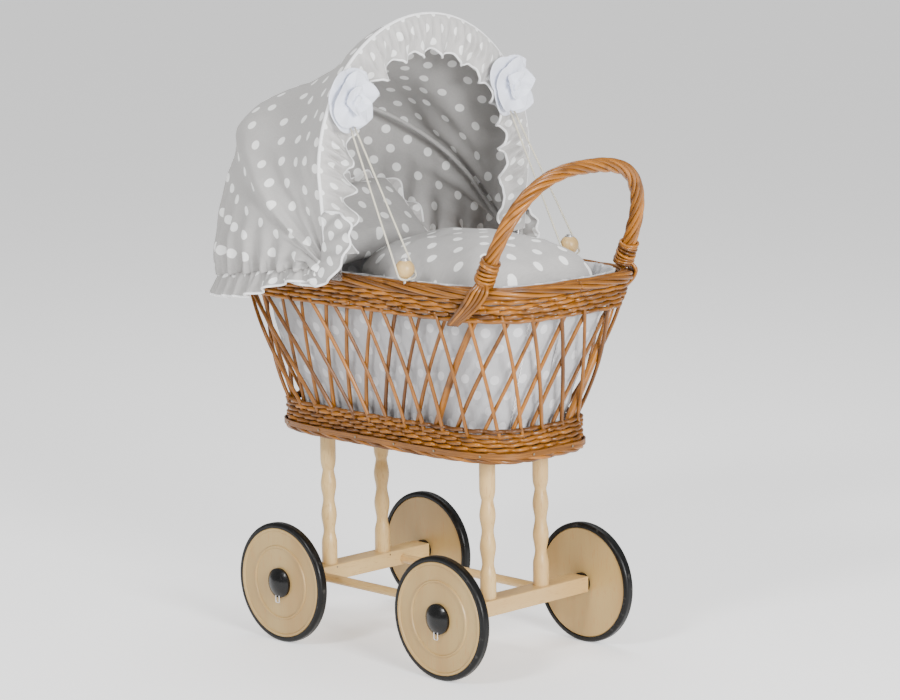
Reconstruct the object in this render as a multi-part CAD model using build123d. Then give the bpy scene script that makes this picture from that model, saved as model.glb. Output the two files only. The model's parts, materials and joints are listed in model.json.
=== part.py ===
from build123d import *
import math
import os

# Wicker doll's pram: a willow basket on a beech undercarriage with four wooden
# wheels, a woven push handle and a folding fabric hood.
# Millimetres. +Z is up, the floor is z = 0, +X points to the handle end, the hood
# is at -X, and x = y = 0 is the middle of the wheels.

# ---- driving dimensions ----------------------------------------------------------
wheel_diameter = 130.0
tyre_width = 11.0
tyre_depth = 5.5
wheelbase = 240.0
track = 218.0
disc_thickness = 9.0
groove_radius = 39.0
axle_radius = 3.0
axle_neck_radius = 2.0
hub_sleeve_radius = 8.0
hub_cap_radius = 16.0
hub_cap_depth = 9.0
clip_wire = 1.2
clip_plane = 4.0          # how far outside the disc's face the clip lies
running_gap = 0.05        # radial play of a wheel on its axle
beam_width = 24.0
beam_height = 17.0
rail_radius = 4.75
rail_y = 60.0
leg_y = 40.0
leg_radius = 8.5
leg_waist_radius = 6.3
leg_levels = [96.0, 109.0, 129.0, 145.0, 162.0, 177.0, 194.0]
tenon_radius = 5.0
tenon_length = 5.0

corner_power = 4.4        # exponent of the basket's rounded-rectangle outline
foot_level, foot_half = 223.0, (175.0, 82.0)
strip_level = 235.0
band_level, band_half = 258.7, (172.5, 86.5)
upper_level, upper_half = 374.0, (209.0, 116.0)
border_level, border_half = 399.0, (215.5, 125.5)
rim_level, rim_half = 412.0, (218.0, 129.0)
weave_thickness = 8.0
border_thickness = 13.0
board_thickness = 8.0
stake_radius = 2.0
lattice_pairs = 32
lattice_inset = 5.0       # middle of the two layers, in from the outer face
lattice_lean = 1.45       # stakes lean by this many pitches over the open band
handle_stake_radius = 3.9
handle_stake_indices = (2, 28)

liner_thickness = 2.0
liner_inset = 17.0        # liner's outer face, in from the basket's outer face
mattress_thickness = 26.0

handle_rope_radius = 7.75
handle_foot = (178.0, 104.0)
handle_rise = 114.0
handle_reach = 50.0       # how far the top leans out past the feet
handle_bend = 70.0
wrap_height = 24.0

hood_pivot_x = -5.0
hood_pivot_z = 420.0
hood_centre = 97.0        # height of the hoops' arc centre above the pivot
front_hoop_radius = 150.0
mid_hoop_radius = 144.0
hoop_wire = 2.0
front_eye_y = 138.8
mid_eye_y = 133.5
eye_width = 4.0
mid_hoop_angle = 50.0     # lean of the middle hoop at rest, degrees
cloth = 2.2               # thickness of the sewn hood cloth with its lining
frill_depth = 40.0

knob_radius = 10.0
knob_place = (87.0, 122.5)
knob_z = 424.2
bow_place = (4.5, 118.0, 590.0)
elastic_radius = 1.0
elastic_spread = 12.5      # half the gap between the two strands at the ball
fan_canes = 4
fan_pitch = 0.052         # spacing of the fan's canes, as an outline angle
fan_lean = 0.16
duvet_x = 68.0
pillow_size = (112.0, 184.0, 36.0)
pillow_place = (-119.0, 0.0, 444.0)
pillow_tilt = 42.0        # degrees from flat, upper edge toward the head

wheel_radius = wheel_diameter / 2
axle_z = wheel_radius
beam_top = axle_z + 9.0
disc_radius = wheel_radius - tyre_depth
beam_length = track - disc_thickness - 8.0


# ---- helpers ---------------------------------------------------------------------
def outline(half, power=corner_power, count=40):
    """Points of a rounded-rectangle (superellipse) outline, half = (length, width)."""
    points = []
    for i in range(count):
        turn = 2 * math.pi * (i + 0.5) / count
        c, s = math.cos(turn), math.sin(turn)
        x = half[0] * math.copysign(abs(c) ** (2 / power), c)
        y = half[1] * math.copysign(abs(s) ** (2 / power), s)
        points.append((x, y))
    return points


def ring_wire(half, level):
    return Wire([Spline(*[(x, y, level) for x, y in outline(half)], periodic=True)])


def shrink(half, amount):
    return (half[0] - amount, half[1] - amount)


def body_between(sections):
    """Closed solid through (level, half) sections."""
    return Solid.make_loft([ring_wire(half, level) for level, half in sections], True)


def hollow_band(sections, thickness):
    """Closed woven band: the space between an outline and the same one inset."""
    inner = [(level, shrink(half, thickness)) for level, half in sections]
    inner[0] = (inner[0][0] - 1.0, inner[0][1])
    inner[-1] = (inner[-1][0] + 1.0, inner[-1][1])
    return body_between(sections) - body_between(inner)


def half_at(level):
    """The basket wall's outer half sizes at a level."""
    stations = [(foot_level, foot_half), (band_level, band_half), (upper_level, upper_half),
                (border_level, border_half), (rim_level, rim_half)]
    for (z0, h0), (z1, h1) in zip(stations, stations[1:]):
        if level <= z1:
            t = (level - z0) / (z1 - z0)
            return (h0[0] + t * (h1[0] - h0[0]), h0[1] + t * (h1[1] - h0[1]))
    return rim_half


def wall_point(turn, level, inset):
    """Point on the basket wall at an outline angle, inset from the outer face."""
    half = shrink(half_at(level), inset)
    c, s = math.cos(turn), math.sin(turn)
    x = half[0] * math.copysign(abs(c) ** (2 / corner_power), c)
    y = half[1] * math.copysign(abs(s) ** (2 / corner_power), s)
    return Vector(x, y, level)


def even_turns(count, half, phase=0.0):
    """Outline angles that divide the outline into equal lengths."""
    steps = 1440
    turns = [2 * math.pi * i / steps for i in range(steps + 1)]
    lengths = [0.0]
    previous = None
    for turn in turns:
        c, s = math.cos(turn), math.sin(turn)
        here = Vector(half[0] * math.copysign(abs(c) ** (2 / corner_power), c),
                      half[1] * math.copysign(abs(s) ** (2 / corner_power), s), 0)
        if previous is not None:
            lengths.append(lengths[-1] + (here - previous).length)
        previous = here
    total = lengths[-1]
    result = []
    for k in range(count):
        want = total * ((k + phase) % count) / count
        i = next(n for n in range(steps) if lengths[n + 1] >= want)
        share = (want - lengths[i]) / max(lengths[i + 1] - lengths[i], 1e-9)
        result.append(turns[i] + share * (turns[i + 1] - turns[i]))
    return result


def rod(start, end, radius):
    direction = Vector(*end) - Vector(*start)
    plane = Plane(origin=start, z_dir=direction)
    return Solid.make_cylinder(radius, direction.length, plane)


def sweep_rod(path, radius):
    start = path @ 0
    tangent = path % 0
    return sweep(Plane(origin=start, z_dir=tangent) * Circle(radius), path)


def turned(profile, centre):
    """Solid of revolution about the wheel's own Y axis, moved to centre."""
    face = make_face(Plane.XY * Polyline(*profile, close=True))
    solid = revolve(face, Axis.Y, 360)
    return Pos(*centre) * solid


# ---- undercarriage ---------------------------------------------------------------
def axle_beam(x):
    beam = Pos(x, 0, beam_top - beam_height / 2) * Box(beam_width, beam_length, beam_height)
    edges = beam.edges().filter_by(Axis.Y)
    beam = fillet(edges, 1.2)
    beam -= rod((x, -beam_length, axle_z), (x, beam_length, axle_z), axle_radius)
    for side in (-1, 1):
        top = (x, side * leg_y, beam_top)
        beam -= rod(top, (x, side * leg_y, beam_top - tenon_length), tenon_radius)
        inner = x - math.copysign(beam_width / 2, x)
        socket = x - math.copysign(beam_width / 2 - 7.0, x)
        beam -= rod((inner, side * rail_y, axle_z - 1.0), (socket, side * rail_y, axle_z - 1.0),
                    rail_radius)
        beam -= nail_rod(x, side)
    return beam


def nail_rod(x, side):
    """The pin driven through the beam's inner face into a leg's tenon."""
    inner = x - math.copysign(beam_width / 2, x)
    end = x - math.copysign(1.0, x)
    level = beam_top - tenon_length / 2
    return rod((inner, side * leg_y, level), (end, side * leg_y, level), 1.0)


def leg(x, side):
    """Turned leg: plain ends, two bulges and three waists, with a tenon below."""
    top = foot_level + 4.0
    points = [(leg_radius, leg_levels[0])]
    for i, level in enumerate(leg_levels[1:], start=1):
        points.append((leg_waist_radius if i % 2 else leg_radius, level))
    curve = Spline(*[(r, z) for r, z in points], tangents=[(0, 1), (0, 1)])
    outline_edges = [
        Line((0, beam_top - tenon_length), (tenon_radius, beam_top - tenon_length)),
        Line((tenon_radius, beam_top - tenon_length), (tenon_radius, beam_top)),
        Line((tenon_radius, beam_top), (leg_radius, beam_top)),
        Line((leg_radius, beam_top), points[0]),
        curve,
        Line(points[-1], (leg_radius, top)),
        Line((leg_radius, top), (0, top)),
        Line((0, top), (0, beam_top - tenon_length)),
    ]
    face = make_face([Plane.XZ * edge for edge in outline_edges])
    solid = Pos(x, side * leg_y, 0) * revolve(face, Axis.Z, 360)
    solid -= nail_rod(x, side)
    solid -= rod((x, side * leg_y, top), (x, side * leg_y, top - 22.0), 1.75)
    return solid


def side_rail(side):
    reach = wheelbase / 2 - beam_width / 2 + 7.0
    level = axle_z - 1.0
    return rod((-reach, side * rail_y, level), (reach, side * rail_y, level), rail_radius)


def leg_nails():
    return [nail_rod(sx * wheelbase / 2, sy) for sx in (-1, 1) for sy in (-1, 1)]


def leg_screws():
    """Countersunk screws from the base board down into the legs."""
    screws = []
    top = foot_level + 4.0 + board_thickness
    for sx in (-1, 1):
        for sy in (-1, 1):
            x, y = sx * wheelbase / 2, sy * leg_y
            shank = rod((x, y, top - 2.5 - 26.0), (x, y, top - 2.5), 1.75)
            head = Pos(x, y, top - 1.25) * Cone(1.75, 4.0, 2.5)
            screws.append(shank + head)
    return screws


def axle(x):
    """Steel rod through the beam, with a neck for the spring clip near each end."""
    half = track / 2 + disc_thickness / 2 + clip_plane + 2.6
    neck = track / 2 + disc_thickness / 2 + clip_plane
    solid = rod((x, -half, axle_z), (x, half, axle_z), axle_radius)
    for side in (-1, 1):
        ring = rod((x, side * (neck - 0.8), axle_z), (x, side * (neck + 0.8), axle_z), axle_radius + 1)
        core = rod((x, side * (neck - 0.9), axle_z), (x, side * (neck + 0.9), axle_z), axle_neck_radius)
        solid -= ring - core
    return solid


# ---- wheels (each modelled with its outer face toward -Y, then turned for side +1) --
def tyre():
    w = tyre_width / 2
    profile = Rectangle(tyre_depth, tyre_width)
    section = Pos(disc_radius + tyre_depth / 2, 0) * profile
    outer = section.vertices().group_by(Axis.X)[-1]
    section = fillet(outer, w * 0.62)
    return revolve(section, Axis.Y, 360)


def wheel_disc():
    h = disc_thickness / 2
    bead = 1.2
    profile = [
        (hub_sleeve_radius, -h), (groove_radius - 1.6, -h), (groove_radius - 0.8, -h - bead),
        (groove_radius + 0.8, -h - bead), (groove_radius + 1.6, -h), (disc_radius - 4.0, -h),
        (disc_radius - 3.0, -h - bead), (disc_radius - 0.8, -h - bead), (disc_radius, -h),
        (disc_radius, h - 1.0), (disc_radius - 1.0, h), (hub_sleeve_radius, h),
    ]
    return turned(profile, (0, 0, 0))


def hub():
    """Domed cap, sleeve through the disc and inner collar, with a slot for the clip."""
    h = disc_thickness / 2
    out = -h - hub_cap_depth
    bore = axle_radius + running_gap
    edges = [
        Line((bore, h + 3.0), (bore, -h - clip_plane - 3.2)),
        Line((bore, -h - clip_plane - 3.2), (0, -h - clip_plane - 3.2)),
        Line((0, -h - clip_plane - 3.2), (0, out)),
        ThreePointArc((0, out), (hub_cap_radius * 0.62, out + 2.2), (hub_cap_radius, -h - 3.0)),
        Line((hub_cap_radius, -h - 3.0), (hub_cap_radius, -h)),
        Line((hub_cap_radius, -h), (hub_sleeve_radius, -h)),
        Line((hub_sleeve_radius, -h), (hub_sleeve_radius, h)),
        Line((hub_sleeve_radius, h), (11.0, h)),
        Line((11.0, h), (11.0, h + 3.0)),
        Line((11.0, h + 3.0), (bore, h + 3.0)),
    ]
    solid = revolve(make_face(edges), Axis.Y, 360)
    slot_width = 2 * (axle_neck_radius + running_gap + clip_wire) + 1.2
    slot = Pos(0, -h - clip_plane, -9.0) * Box(slot_width, clip_wire + 0.5, 32.0)
    return solid - slot


def hub_clip():
    """Hairpin of spring wire: two legs past the axle's neck, bent foot outside."""
    h = disc_thickness / 2
    gap = axle_neck_radius + running_gap + clip_wire / 2
    y = -h - clip_plane
    top, bottom = 5.2, -21.0
    path = FilletPolyline((gap, y, top), (gap, y, bottom), (-gap, y, bottom), (-gap, y, top),
                          radius=1.2)
    return sweep_rod(path, clip_wire / 2)


def place_wheel(shape, x, side):
    if side > 0:
        shape = Rot(0, 0, 180) * shape
    return Pos(x, side * track / 2, axle_z) * shape


# ---- basket ----------------------------------------------------------------------
def base_board():
    low = foot_level + 4.0
    inset = weave_thickness + 1.2
    half = shrink(half_at(low), inset)
    board = body_between([(low, half), (low + board_thickness, half)])
    for screw in leg_screws():
        board -= screw
    return board


def foot_border():
    sections = [(foot_level, foot_half), (strip_level, half_at(strip_level))]
    ring = hollow_band(sections, weave_thickness)
    for nail in strip_nails():
        ring -= nail
    return ring


def base_strip():
    """Split cane strip round the foot, nailed through the weave to the board."""
    low, high = strip_level - 6.5, strip_level - 0.5
    sections = [(z, tuple(v + 1.6 for v in half_at(z))) for z in (low, high)]
    inner = [(z, shrink(half, 1.5)) for z, half in sections]
    inner[0] = (inner[0][0] - 1.0, inner[0][1])
    inner[1] = (inner[1][0] + 1.0, inner[1][1])
    strip = body_between(sections) - body_between(inner)
    for nail in strip_nails():
        strip -= nail
    return strip


def strip_nails():
    level = strip_level - 3.5
    nails = []
    for turn in even_turns(16, half_at(level), 0.5):
        at = wall_point(turn, level, 0.0)
        ahead = wall_point(turn + 0.01, level, 0.0)
        normal = (ahead - at).cross(Vector(0, 0, 1)).normalized()
        nails.append(rod(at - normal * 5.0, at + normal * 2.6, 1.2))
    return nails


def lattice_stake(k, direction, inset, radius):
    """Stake k of one layer; direction is +1 for the inner layer and -1 for the outer."""
    turns = even_turns(lattice_pairs, half_at((band_level + upper_level) / 2))
    low_index = (k - direction * lattice_lean / 2) % lattice_pairs
    high_index = (k + direction * lattice_lean / 2) % lattice_pairs
    spare = 0.65 * radius     # the slanted ends stay clear of the bands
    low = wall_point(blend_turn(turns, low_index), band_level + spare, inset)
    high = wall_point(blend_turn(turns, high_index), upper_level - spare, inset)
    return rod(low, high, radius)


def lattice(direction):
    """Open cane lattice: one layer of leaning stakes between the two bands."""
    inset = lattice_inset + direction * (stake_radius + 0.9)
    taken = handle_stake_indices if direction > 0 else ()
    return [lattice_stake(k, direction, inset, stake_radius)
            for k in range(lattice_pairs) if k not in taken]


def handle_stakes():
    """Thick stakes that carry the handle take the place of two inner-layer stakes."""
    inset = lattice_inset + handle_stake_radius - 0.5
    return [lattice_stake(k, 1, inset, handle_stake_radius) for k in handle_stake_indices]


def blend_turn(turns, index):
    """Outline angle at a fractional position in the list of turns."""
    i = int(math.floor(index)) % len(turns)
    share = index - math.floor(index)
    a, b = turns[i], turns[(i + 1) % len(turns)]
    if b < a:
        b += 2 * math.pi
    return a + share * (b - a)


def upper_band():
    sections = [(upper_level, upper_half), (border_level, border_half)]
    return hollow_band(sections, weave_thickness)


def lower_band():
    sections = [(strip_level, half_at(strip_level)), (band_level, band_half)]
    return hollow_band(sections, weave_thickness)


def rim_border():
    ring = hollow_band([(border_level, border_half), (rim_level, rim_half)], border_thickness)
    for side in (-1, 1):
        x, y = knob_place
        ring -= rod((x, side * y, rim_level), (x, side * y, rim_level - 11.0), 1.5)
    return ring


# ---- push handle -----------------------------------------------------------------
def handle_plane():
    """Plane of the arch: origin between its feet, x across the basket, y up the arch."""
    up = Vector(handle_reach, 0, handle_rise)
    return Plane(origin=(handle_foot[0], 0, rim_level), x_dir=(0, 1, 0),
                 z_dir=Vector(0, 1, 0).cross(up))


def handle_path():
    w = handle_foot[1]
    top = math.hypot(handle_reach, handle_rise)
    corners = [(-w, 3.6), (-w * 1.02, top * 0.50), (-w * 0.86, top * 0.90), (-w * 0.40, top * 1.03)]
    corners += [(-y, q) for y, q in reversed(corners)]
    plane = handle_plane()
    places = [plane.from_local_coords(Vector(y, q, 0)) for y, q in corners]
    return FilletPolyline(*places, radius=handle_bend)


def handle_arch():
    return sweep_rod(handle_path(), handle_rope_radius)


def handle_wraps():
    """Cane binding round each foot of the arch, just above the rim."""
    w = handle_foot[1]
    plane = handle_plane()
    wraps = []
    for side in (-1, 1):
        start = plane.from_local_coords(Vector(side * w, 5.0, 0))
        end = plane.from_local_coords(Vector(side * w * 1.004, 5.0 + wrap_height, 0))
        outer = rod(start, end, handle_rope_radius + 2.0)
        wraps.append(outer - handle_arch())
    return wraps


def handle_fans():
    """Canes that sweep from each foot down the outside of the upper band."""
    canes = []
    radius = 2.0
    for side in (-1, 1):
        foot_turn = outline_turn(handle_foot[0], side * handle_foot[1])
        for i in range(fan_canes):
            shift = (i - (fan_canes - 1) / 2) * fan_pitch
            lean = side * fan_lean
            levels = (rim_level - 1.0, rim_level - 12.0, upper_level + 12.0, upper_level + 1.0)
            leans = (0.0, 0.15 * lean, 0.8 * lean, lean)
            points = [wall_point(foot_turn + shift + extra, level, -radius - 0.9)
                      for level, extra in zip(levels, leans)]
            canes.append(sweep_rod(FilletPolyline(*points, radius=12.0), radius))
    return canes


def outline_turn(x, y):
    """Outline angle of the wall beside a point in plan."""
    half = rim_half
    c = math.copysign((abs(x) / half[0]) ** (corner_power / 2), x)
    s = math.copysign((abs(y) / half[1]) ** (corner_power / 2), y)
    return math.atan2(s, c)


# ---- hood ------------------------------------------------------------------------
def hoop(radius, eye_y, angle):
    """Wire hoop: an arc on two legs that lean in to the pivots, with an eye at each end."""
    distance = math.hypot(eye_y, hood_centre)
    lean = math.acos(radius / distance) - math.atan2(hood_centre, eye_y)
    touch = (radius * math.cos(lean), hood_centre + radius * math.sin(lean))
    start = (eye_y * 1.0, 0.0)
    way = Vector(touch[0] - start[0], touch[1] - start[1], 0).normalized()
    start = (start[0] + way.X * 4.0, start[1] + way.Y * 4.0)
    plane = Plane(origin=(0, 0, 0), x_dir=(0, 1, 0), z_dir=(1, 0, 0))
    edges = [Line(start, touch),
             ThreePointArc(touch, (0, hood_centre + radius), (-touch[0], touch[1])),
             Line((-touch[0], touch[1]), (-start[0], start[1]))]
    path = plane * Wire(edges)
    solid = sweep_rod(path, hoop_wire)
    for side in (-1, 1):
        y = side * eye_y
        solid += rod((0, y - eye_width / 2, 0), (0, y + eye_width / 2, 0), 5.0)
    for side in (-1, 1):
        y = side * eye_y
        solid -= rod((0, y - eye_width, 0), (0, y + eye_width, 0), hoop_wire + running_gap)
    return Pos(hood_pivot_x, 0, hood_pivot_z) * Rot(0, -angle, 0) * solid


def hood_brackets():
    """Steel plates on the rim that carry the hood's pivot pins."""
    plates = []
    for side in (-1, 1):
        low, high = rim_level - 7.0, hood_pivot_z + 7.0
        inner = rim_half[1] + 0.5
        plate = Pos(hood_pivot_x, side * (inner + 1.0), (low + high) / 2) * Box(14.0, 2.0, high - low)
        plate -= rod((hood_pivot_x, side * 120, hood_pivot_z), (hood_pivot_x, side * 140, hood_pivot_z),
                     hoop_wire)
        plates.append(plate)
    return plates


def hood_pins():
    """Pivot pins through the brackets and both hoops' eyes, with a head outside."""
    pins = []
    head = front_eye_y + eye_width / 2 + 0.3
    for side in (-1, 1):
        x, z = hood_pivot_x, hood_pivot_z
        shank = rod((x, side * (rim_half[1] + 0.5), z), (x, side * head, z), hoop_wire)
        cap = rod((x, side * head, z), (x, side * (head + 1.8), z), 3.6)
        pins.append(shank + cap)
    return pins


def hood_section(level, depth, half_width, power, inset=0.0, front=0.0):
    """D-shaped outline: a straight front and a rounded back."""
    depth, half_width = depth - inset, half_width - inset
    x0 = hood_pivot_x - 3.0
    points = []
    for i in range(19):
        turn = math.pi * i / 18
        c, s = math.sin(turn), math.cos(turn)
        x = x0 - depth * abs(c) ** (2 / power)
        y = half_width * math.copysign(abs(s) ** (2 / power), s)
        points.append(Vector(x, y, level))
    points[0].X, points[-1].X = x0, x0
    edges = [Spline(*points)]
    if front:
        a, b = points[-1], points[0]
        edges += [Line(a, a + Vector(front, 0, 0)),
                  Line(a + Vector(front, 0, 0), b + Vector(front, 0, 0)),
                  Line(b + Vector(front, 0, 0), b)]
    else:
        edges.append(Line(points[-1], points[0]))
    return Wire(edges)


hood_stations = [          # level, depth behind the front hoop, half width, outline power
    (398.0, 226.0, 147.0, 4.2), (420.0, 231.0, 148.0, 3.6), (445.0, 235.0, 150.0, 3.0),
    (480.0, 234.0, 153.5, 2.7), (515.0, 228.0, 155.5, 2.5), (548.0, 213.0, 152.5, 2.35),
    (577.0, 192.0, 144.0, 2.2), (600.0, 133.0, 131.5, 1.7), (630.0, 77.0, 108.0, 1.6),
    (652.0, 40.0, 78.5, 1.7), (668.0, 14.0, 40.0, 1.9),
]


def hood_canopy():
    outer = Solid.make_loft([hood_section(*station) for station in hood_stations], True)
    inner_stations = [(z - cloth * (i / 10) ** 2, d, w, n)
                      for i, (z, d, w, n) in enumerate(hood_stations)]
    inner_stations[0] = (inner_stations[0][0] - 1.0,) + inner_stations[0][1:]
    inner = Solid.make_loft([hood_section(*station, inset=cloth, front=12.0)
                             for station in inner_stations], True)
    return outer - inner


def hood_skirt():
    """Flared frill below the hood's gathered hem, round the head end of the rim."""
    level, depth, width, power = hood_stations[0]
    stations = [(376.0, depth + 6.0, width + 7.0, power), (level - 0.3, depth, width, power)]
    outer = Solid.make_loft([hood_section(*station) for station in stations], True)
    low, high = stations
    inner = Solid.make_loft([hood_section(low[0] - 1.0, *low[1:], inset=cloth, front=12.0),
                             hood_section(high[0] + 1.0, *high[1:], inset=cloth, front=12.0)], True)
    ring = outer - inner
    clear = Pos(0, 0, 380) * Box(90, 400, 60)
    return ring - clear


def hood_frill():
    """Gathered face frill sewn to the front edge, as a flat horseshoe."""
    outer, inner = front_hoop_radius + 5.5, front_hoop_radius + 5.5 - frill_depth
    low = 12.0
    plane = Plane(origin=(hood_pivot_x + hoop_wire + 0.4, 0, hood_pivot_z), x_dir=(0, 1, 0),
                  z_dir=(1, 0, 0))
    foot_out, foot_in = 144.0, 107.0
    edges = [Line((-foot_out, low), (-outer, hood_centre)),
             ThreePointArc((-outer, hood_centre), (0, hood_centre + outer), (outer, hood_centre)),
             Line((outer, hood_centre), (foot_out, low)), Line((foot_out, low), (foot_in, low)),
             Line((foot_in, low), (inner, hood_centre)),
             ThreePointArc((inner, hood_centre), (0, hood_centre + inner), (-inner, hood_centre)),
             Line((-inner, hood_centre), (-foot_in, low)), Line((-foot_in, low), (-foot_out, low))]
    return extrude(plane * make_face(edges), 4.0)


def bow(side):
    """Ruffled rosette as a low round boss on the face frill."""
    x, y, z = bow_place
    disc = Rot(0, 90, 0) * Cylinder(27.0, 14.0)
    disc = fillet(disc.edges(), 4.0)
    return Pos(x - 2.4 + 7.0, side * y, z) * disc


def elastic_route(side):
    """Hand-set route of an elastic: out of the bow, round under the ball and back."""
    y = side * knob_place[1]
    return [(9.0, side * bow_place[1] - 3.0, 562.5), (92.3, y - elastic_spread, 413.9),
            (92.3, y + elastic_spread, 413.9), (9.0, side * bow_place[1] + 3.0, 562.5)]


def elastic(side):
    path = FilletPolyline(*elastic_route(side), radius=11.0)
    print("elastic length", round(path.length, 1), "radius 11.0")
    return sweep_rod(path, elastic_radius)


def knobs():
    """Wooden balls on short necks, on the rim."""
    balls = []
    for side in (-1, 1):
        x, y = knob_place[0], side * knob_place[1]
        ball = Pos(x, y, knob_z) * Sphere(knob_radius)
        ball += rod((x, y, rim_level), (x, y, knob_z), 3.0)
        ball -= Pos(x, y, knob_z + 8.7 + 5.0) * Box(30, 30, 10)
        ball -= rod((x, y, rim_level - 1), (x, y, knob_z + 12), 1.5)
        balls.append(ball)
    return balls


def knob_screws():
    screws = []
    for side in (-1, 1):
        x, y = knob_place[0], side * knob_place[1]
        top = knob_z + 8.7
        shank = rod((x, y, rim_level - 11.0), (x, y, top + 0.5), 1.5)
        washer = rod((x, y, top), (x, y, top + 0.8), 4.8)
        head = rod((x, y, top + 0.8), (x, y, top + 2.4), 3.2)
        screws.append(shank + washer + head)
    return screws


# ---- bedding ---------------------------------------------------------------------
def basket_liner():
    """Fabric lining: a floor and walls just inside the weave, open at the top."""
    floor = foot_level + 4.0 + board_thickness + 0.5
    levels = (floor, band_level, upper_level, border_level, rim_level - 1.0)
    outer = [(z, shrink(half_at(z), liner_inset)) for z in levels]
    inner = [(z, shrink(half, liner_thickness)) for z, half in outer]
    inner[0] = (floor + liner_thickness, inner[0][1])
    inner[-1] = (rim_level + 1.0, inner[-1][1])
    return body_between(outer) - body_between(inner)


def mattress():
    low = foot_level + 4.0 + board_thickness + 0.5 + liner_thickness + 0.3
    half = shrink(half_at(low), liner_inset + liner_thickness + 1.5)
    return body_between([(low, half), (low + mattress_thickness, half)])


def duvet():
    """Puffed duvet that fills the basket's mouth over the doll space."""
    stations = [(352.0, (104.0, 72.0)), (366.0, (120.0, 90.0)), (398.0, (124.0, 96.5)),
                (412.0, (123.5, 96.0)), (430.0, (108.0, 80.0)), (444.0, (76.0, 54.0)),
                (451.0, (40.0, 28.0))]
    wires = [Wire([Spline(*[(x + duvet_x, y, z) for x, y in outline(half, 3.0)], periodic=True)])
             for z, half in stations]
    return Solid.make_loft(wires, True)


def pillow():
    pad = Box(*pillow_size)
    pad = fillet(pad.edges(), 16.0)
    return Pos(*pillow_place) * Rot(0, pillow_tilt, 0) * pad


def build():
    nodes = {}
    ends = {"front": -1, "rear": 1}
    sides = {"left": -1, "right": 1}
    for end, sx in ends.items():
        nodes[f"axle_beam_{end}"] = axle_beam(sx * wheelbase / 2)
        nodes[f"axle_{end}"] = axle(sx * wheelbase / 2)
        for side, sy in sides.items():
            x = sx * wheelbase / 2
            nodes[f"leg_{end}_{side}"] = leg(x, sy)
            for name, make in (("tyre", tyre), ("wheel_disc", wheel_disc), ("hub", hub),
                               ("hub_clip", hub_clip)):
                nodes[f"{name}_{end}_{side}"] = place_wheel(make(), x, sy)
    for side, sy in sides.items():
        nodes[f"side_rail_{side}"] = side_rail(sy)
    nodes["leg_nails"] = leg_nails()
    nodes["leg_screws"] = leg_screws()
    nodes["base_board"] = base_board()
    nodes["foot_border"] = foot_border()
    nodes["base_strip"] = base_strip()
    nodes["strip_nails"] = strip_nails()
    nodes["lower_band"] = lower_band()
    nodes["lattice_outer"] = lattice(-1)
    nodes["lattice_inner"] = lattice(1)
    nodes["upper_band"] = upper_band()
    nodes["rim_border"] = rim_border()
    nodes["handle_stakes"] = handle_stakes()
    nodes["handle_arch"] = handle_arch()
    nodes["handle_wraps"] = handle_wraps()
    nodes["handle_fans"] = handle_fans()
    nodes["hood_hoop_front"] = hoop(front_hoop_radius, front_eye_y, 0.0)
    nodes["hood_hoop_middle"] = hoop(mid_hoop_radius, mid_eye_y, mid_hoop_angle)
    nodes["hood_brackets"] = hood_brackets()
    nodes["hood_pins"] = hood_pins()
    nodes["hood_canopy"] = hood_canopy()
    nodes["hood_skirt"] = hood_skirt()
    nodes["hood_frill"] = hood_frill()
    for side, sy in sides.items():
        nodes[f"bow_{side}"] = bow(sy)
        nodes[f"elastic_{side}"] = elastic(sy)
    nodes["knobs"] = knobs()
    nodes["knob_screws"] = knob_screws()
    nodes["basket_liner"] = basket_liner()
    nodes["mattress"] = mattress()
    nodes["duvet"] = duvet()
    nodes["pillow"] = pillow()
    return nodes


def main():
    os.makedirs("parts", exist_ok=True)
    for name, shape in build().items():
        if isinstance(shape, list):
            shape = Compound(children=shape)
        export_step(shape, f"parts/{name}.step")


main()
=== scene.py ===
"""A wicker doll's pram: willow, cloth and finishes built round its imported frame."""

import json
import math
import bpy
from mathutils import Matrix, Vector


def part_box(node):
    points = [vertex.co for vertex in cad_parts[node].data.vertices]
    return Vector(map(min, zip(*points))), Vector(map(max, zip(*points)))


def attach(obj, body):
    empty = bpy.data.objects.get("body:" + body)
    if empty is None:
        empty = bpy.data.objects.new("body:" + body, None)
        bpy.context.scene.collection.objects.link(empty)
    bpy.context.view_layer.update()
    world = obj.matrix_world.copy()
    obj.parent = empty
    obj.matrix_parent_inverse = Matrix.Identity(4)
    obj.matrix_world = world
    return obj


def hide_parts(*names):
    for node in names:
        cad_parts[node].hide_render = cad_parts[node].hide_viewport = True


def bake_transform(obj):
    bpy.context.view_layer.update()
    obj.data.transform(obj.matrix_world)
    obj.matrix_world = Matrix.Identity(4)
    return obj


bl_info = {
    "name": "Wicker doll's pram",
    "version": (1, 0, 0),
    "blender": (4, 5, 0),
    "location": "3D View > Sidebar > Pram",
    "description": "Weaves, sews and finishes a doll's pram round its frame",
    "category": "Object",
}

import bpy
import numpy as np
from mathutils import Matrix, Vector, kdtree, noise

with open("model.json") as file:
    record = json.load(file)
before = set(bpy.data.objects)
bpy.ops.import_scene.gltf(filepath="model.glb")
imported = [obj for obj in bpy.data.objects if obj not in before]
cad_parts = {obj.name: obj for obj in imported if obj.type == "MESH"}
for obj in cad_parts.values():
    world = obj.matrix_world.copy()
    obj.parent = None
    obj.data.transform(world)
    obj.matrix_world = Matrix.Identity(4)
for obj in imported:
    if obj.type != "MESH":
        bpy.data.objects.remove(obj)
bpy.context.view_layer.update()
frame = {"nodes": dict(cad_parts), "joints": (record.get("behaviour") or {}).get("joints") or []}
MM = 0.001


def joint_place(name):
    """Where a joint of the frame turns, in millimetres."""
    return np.array(next(j["pos_m"] for j in frame["joints"] if j["name"] == name)) / MM


def node_box(name):
    """Lowest and highest corner of a CAD node, in millimetres."""
    low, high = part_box(name)
    return np.array(low) / MM, np.array(high) / MM


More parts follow.
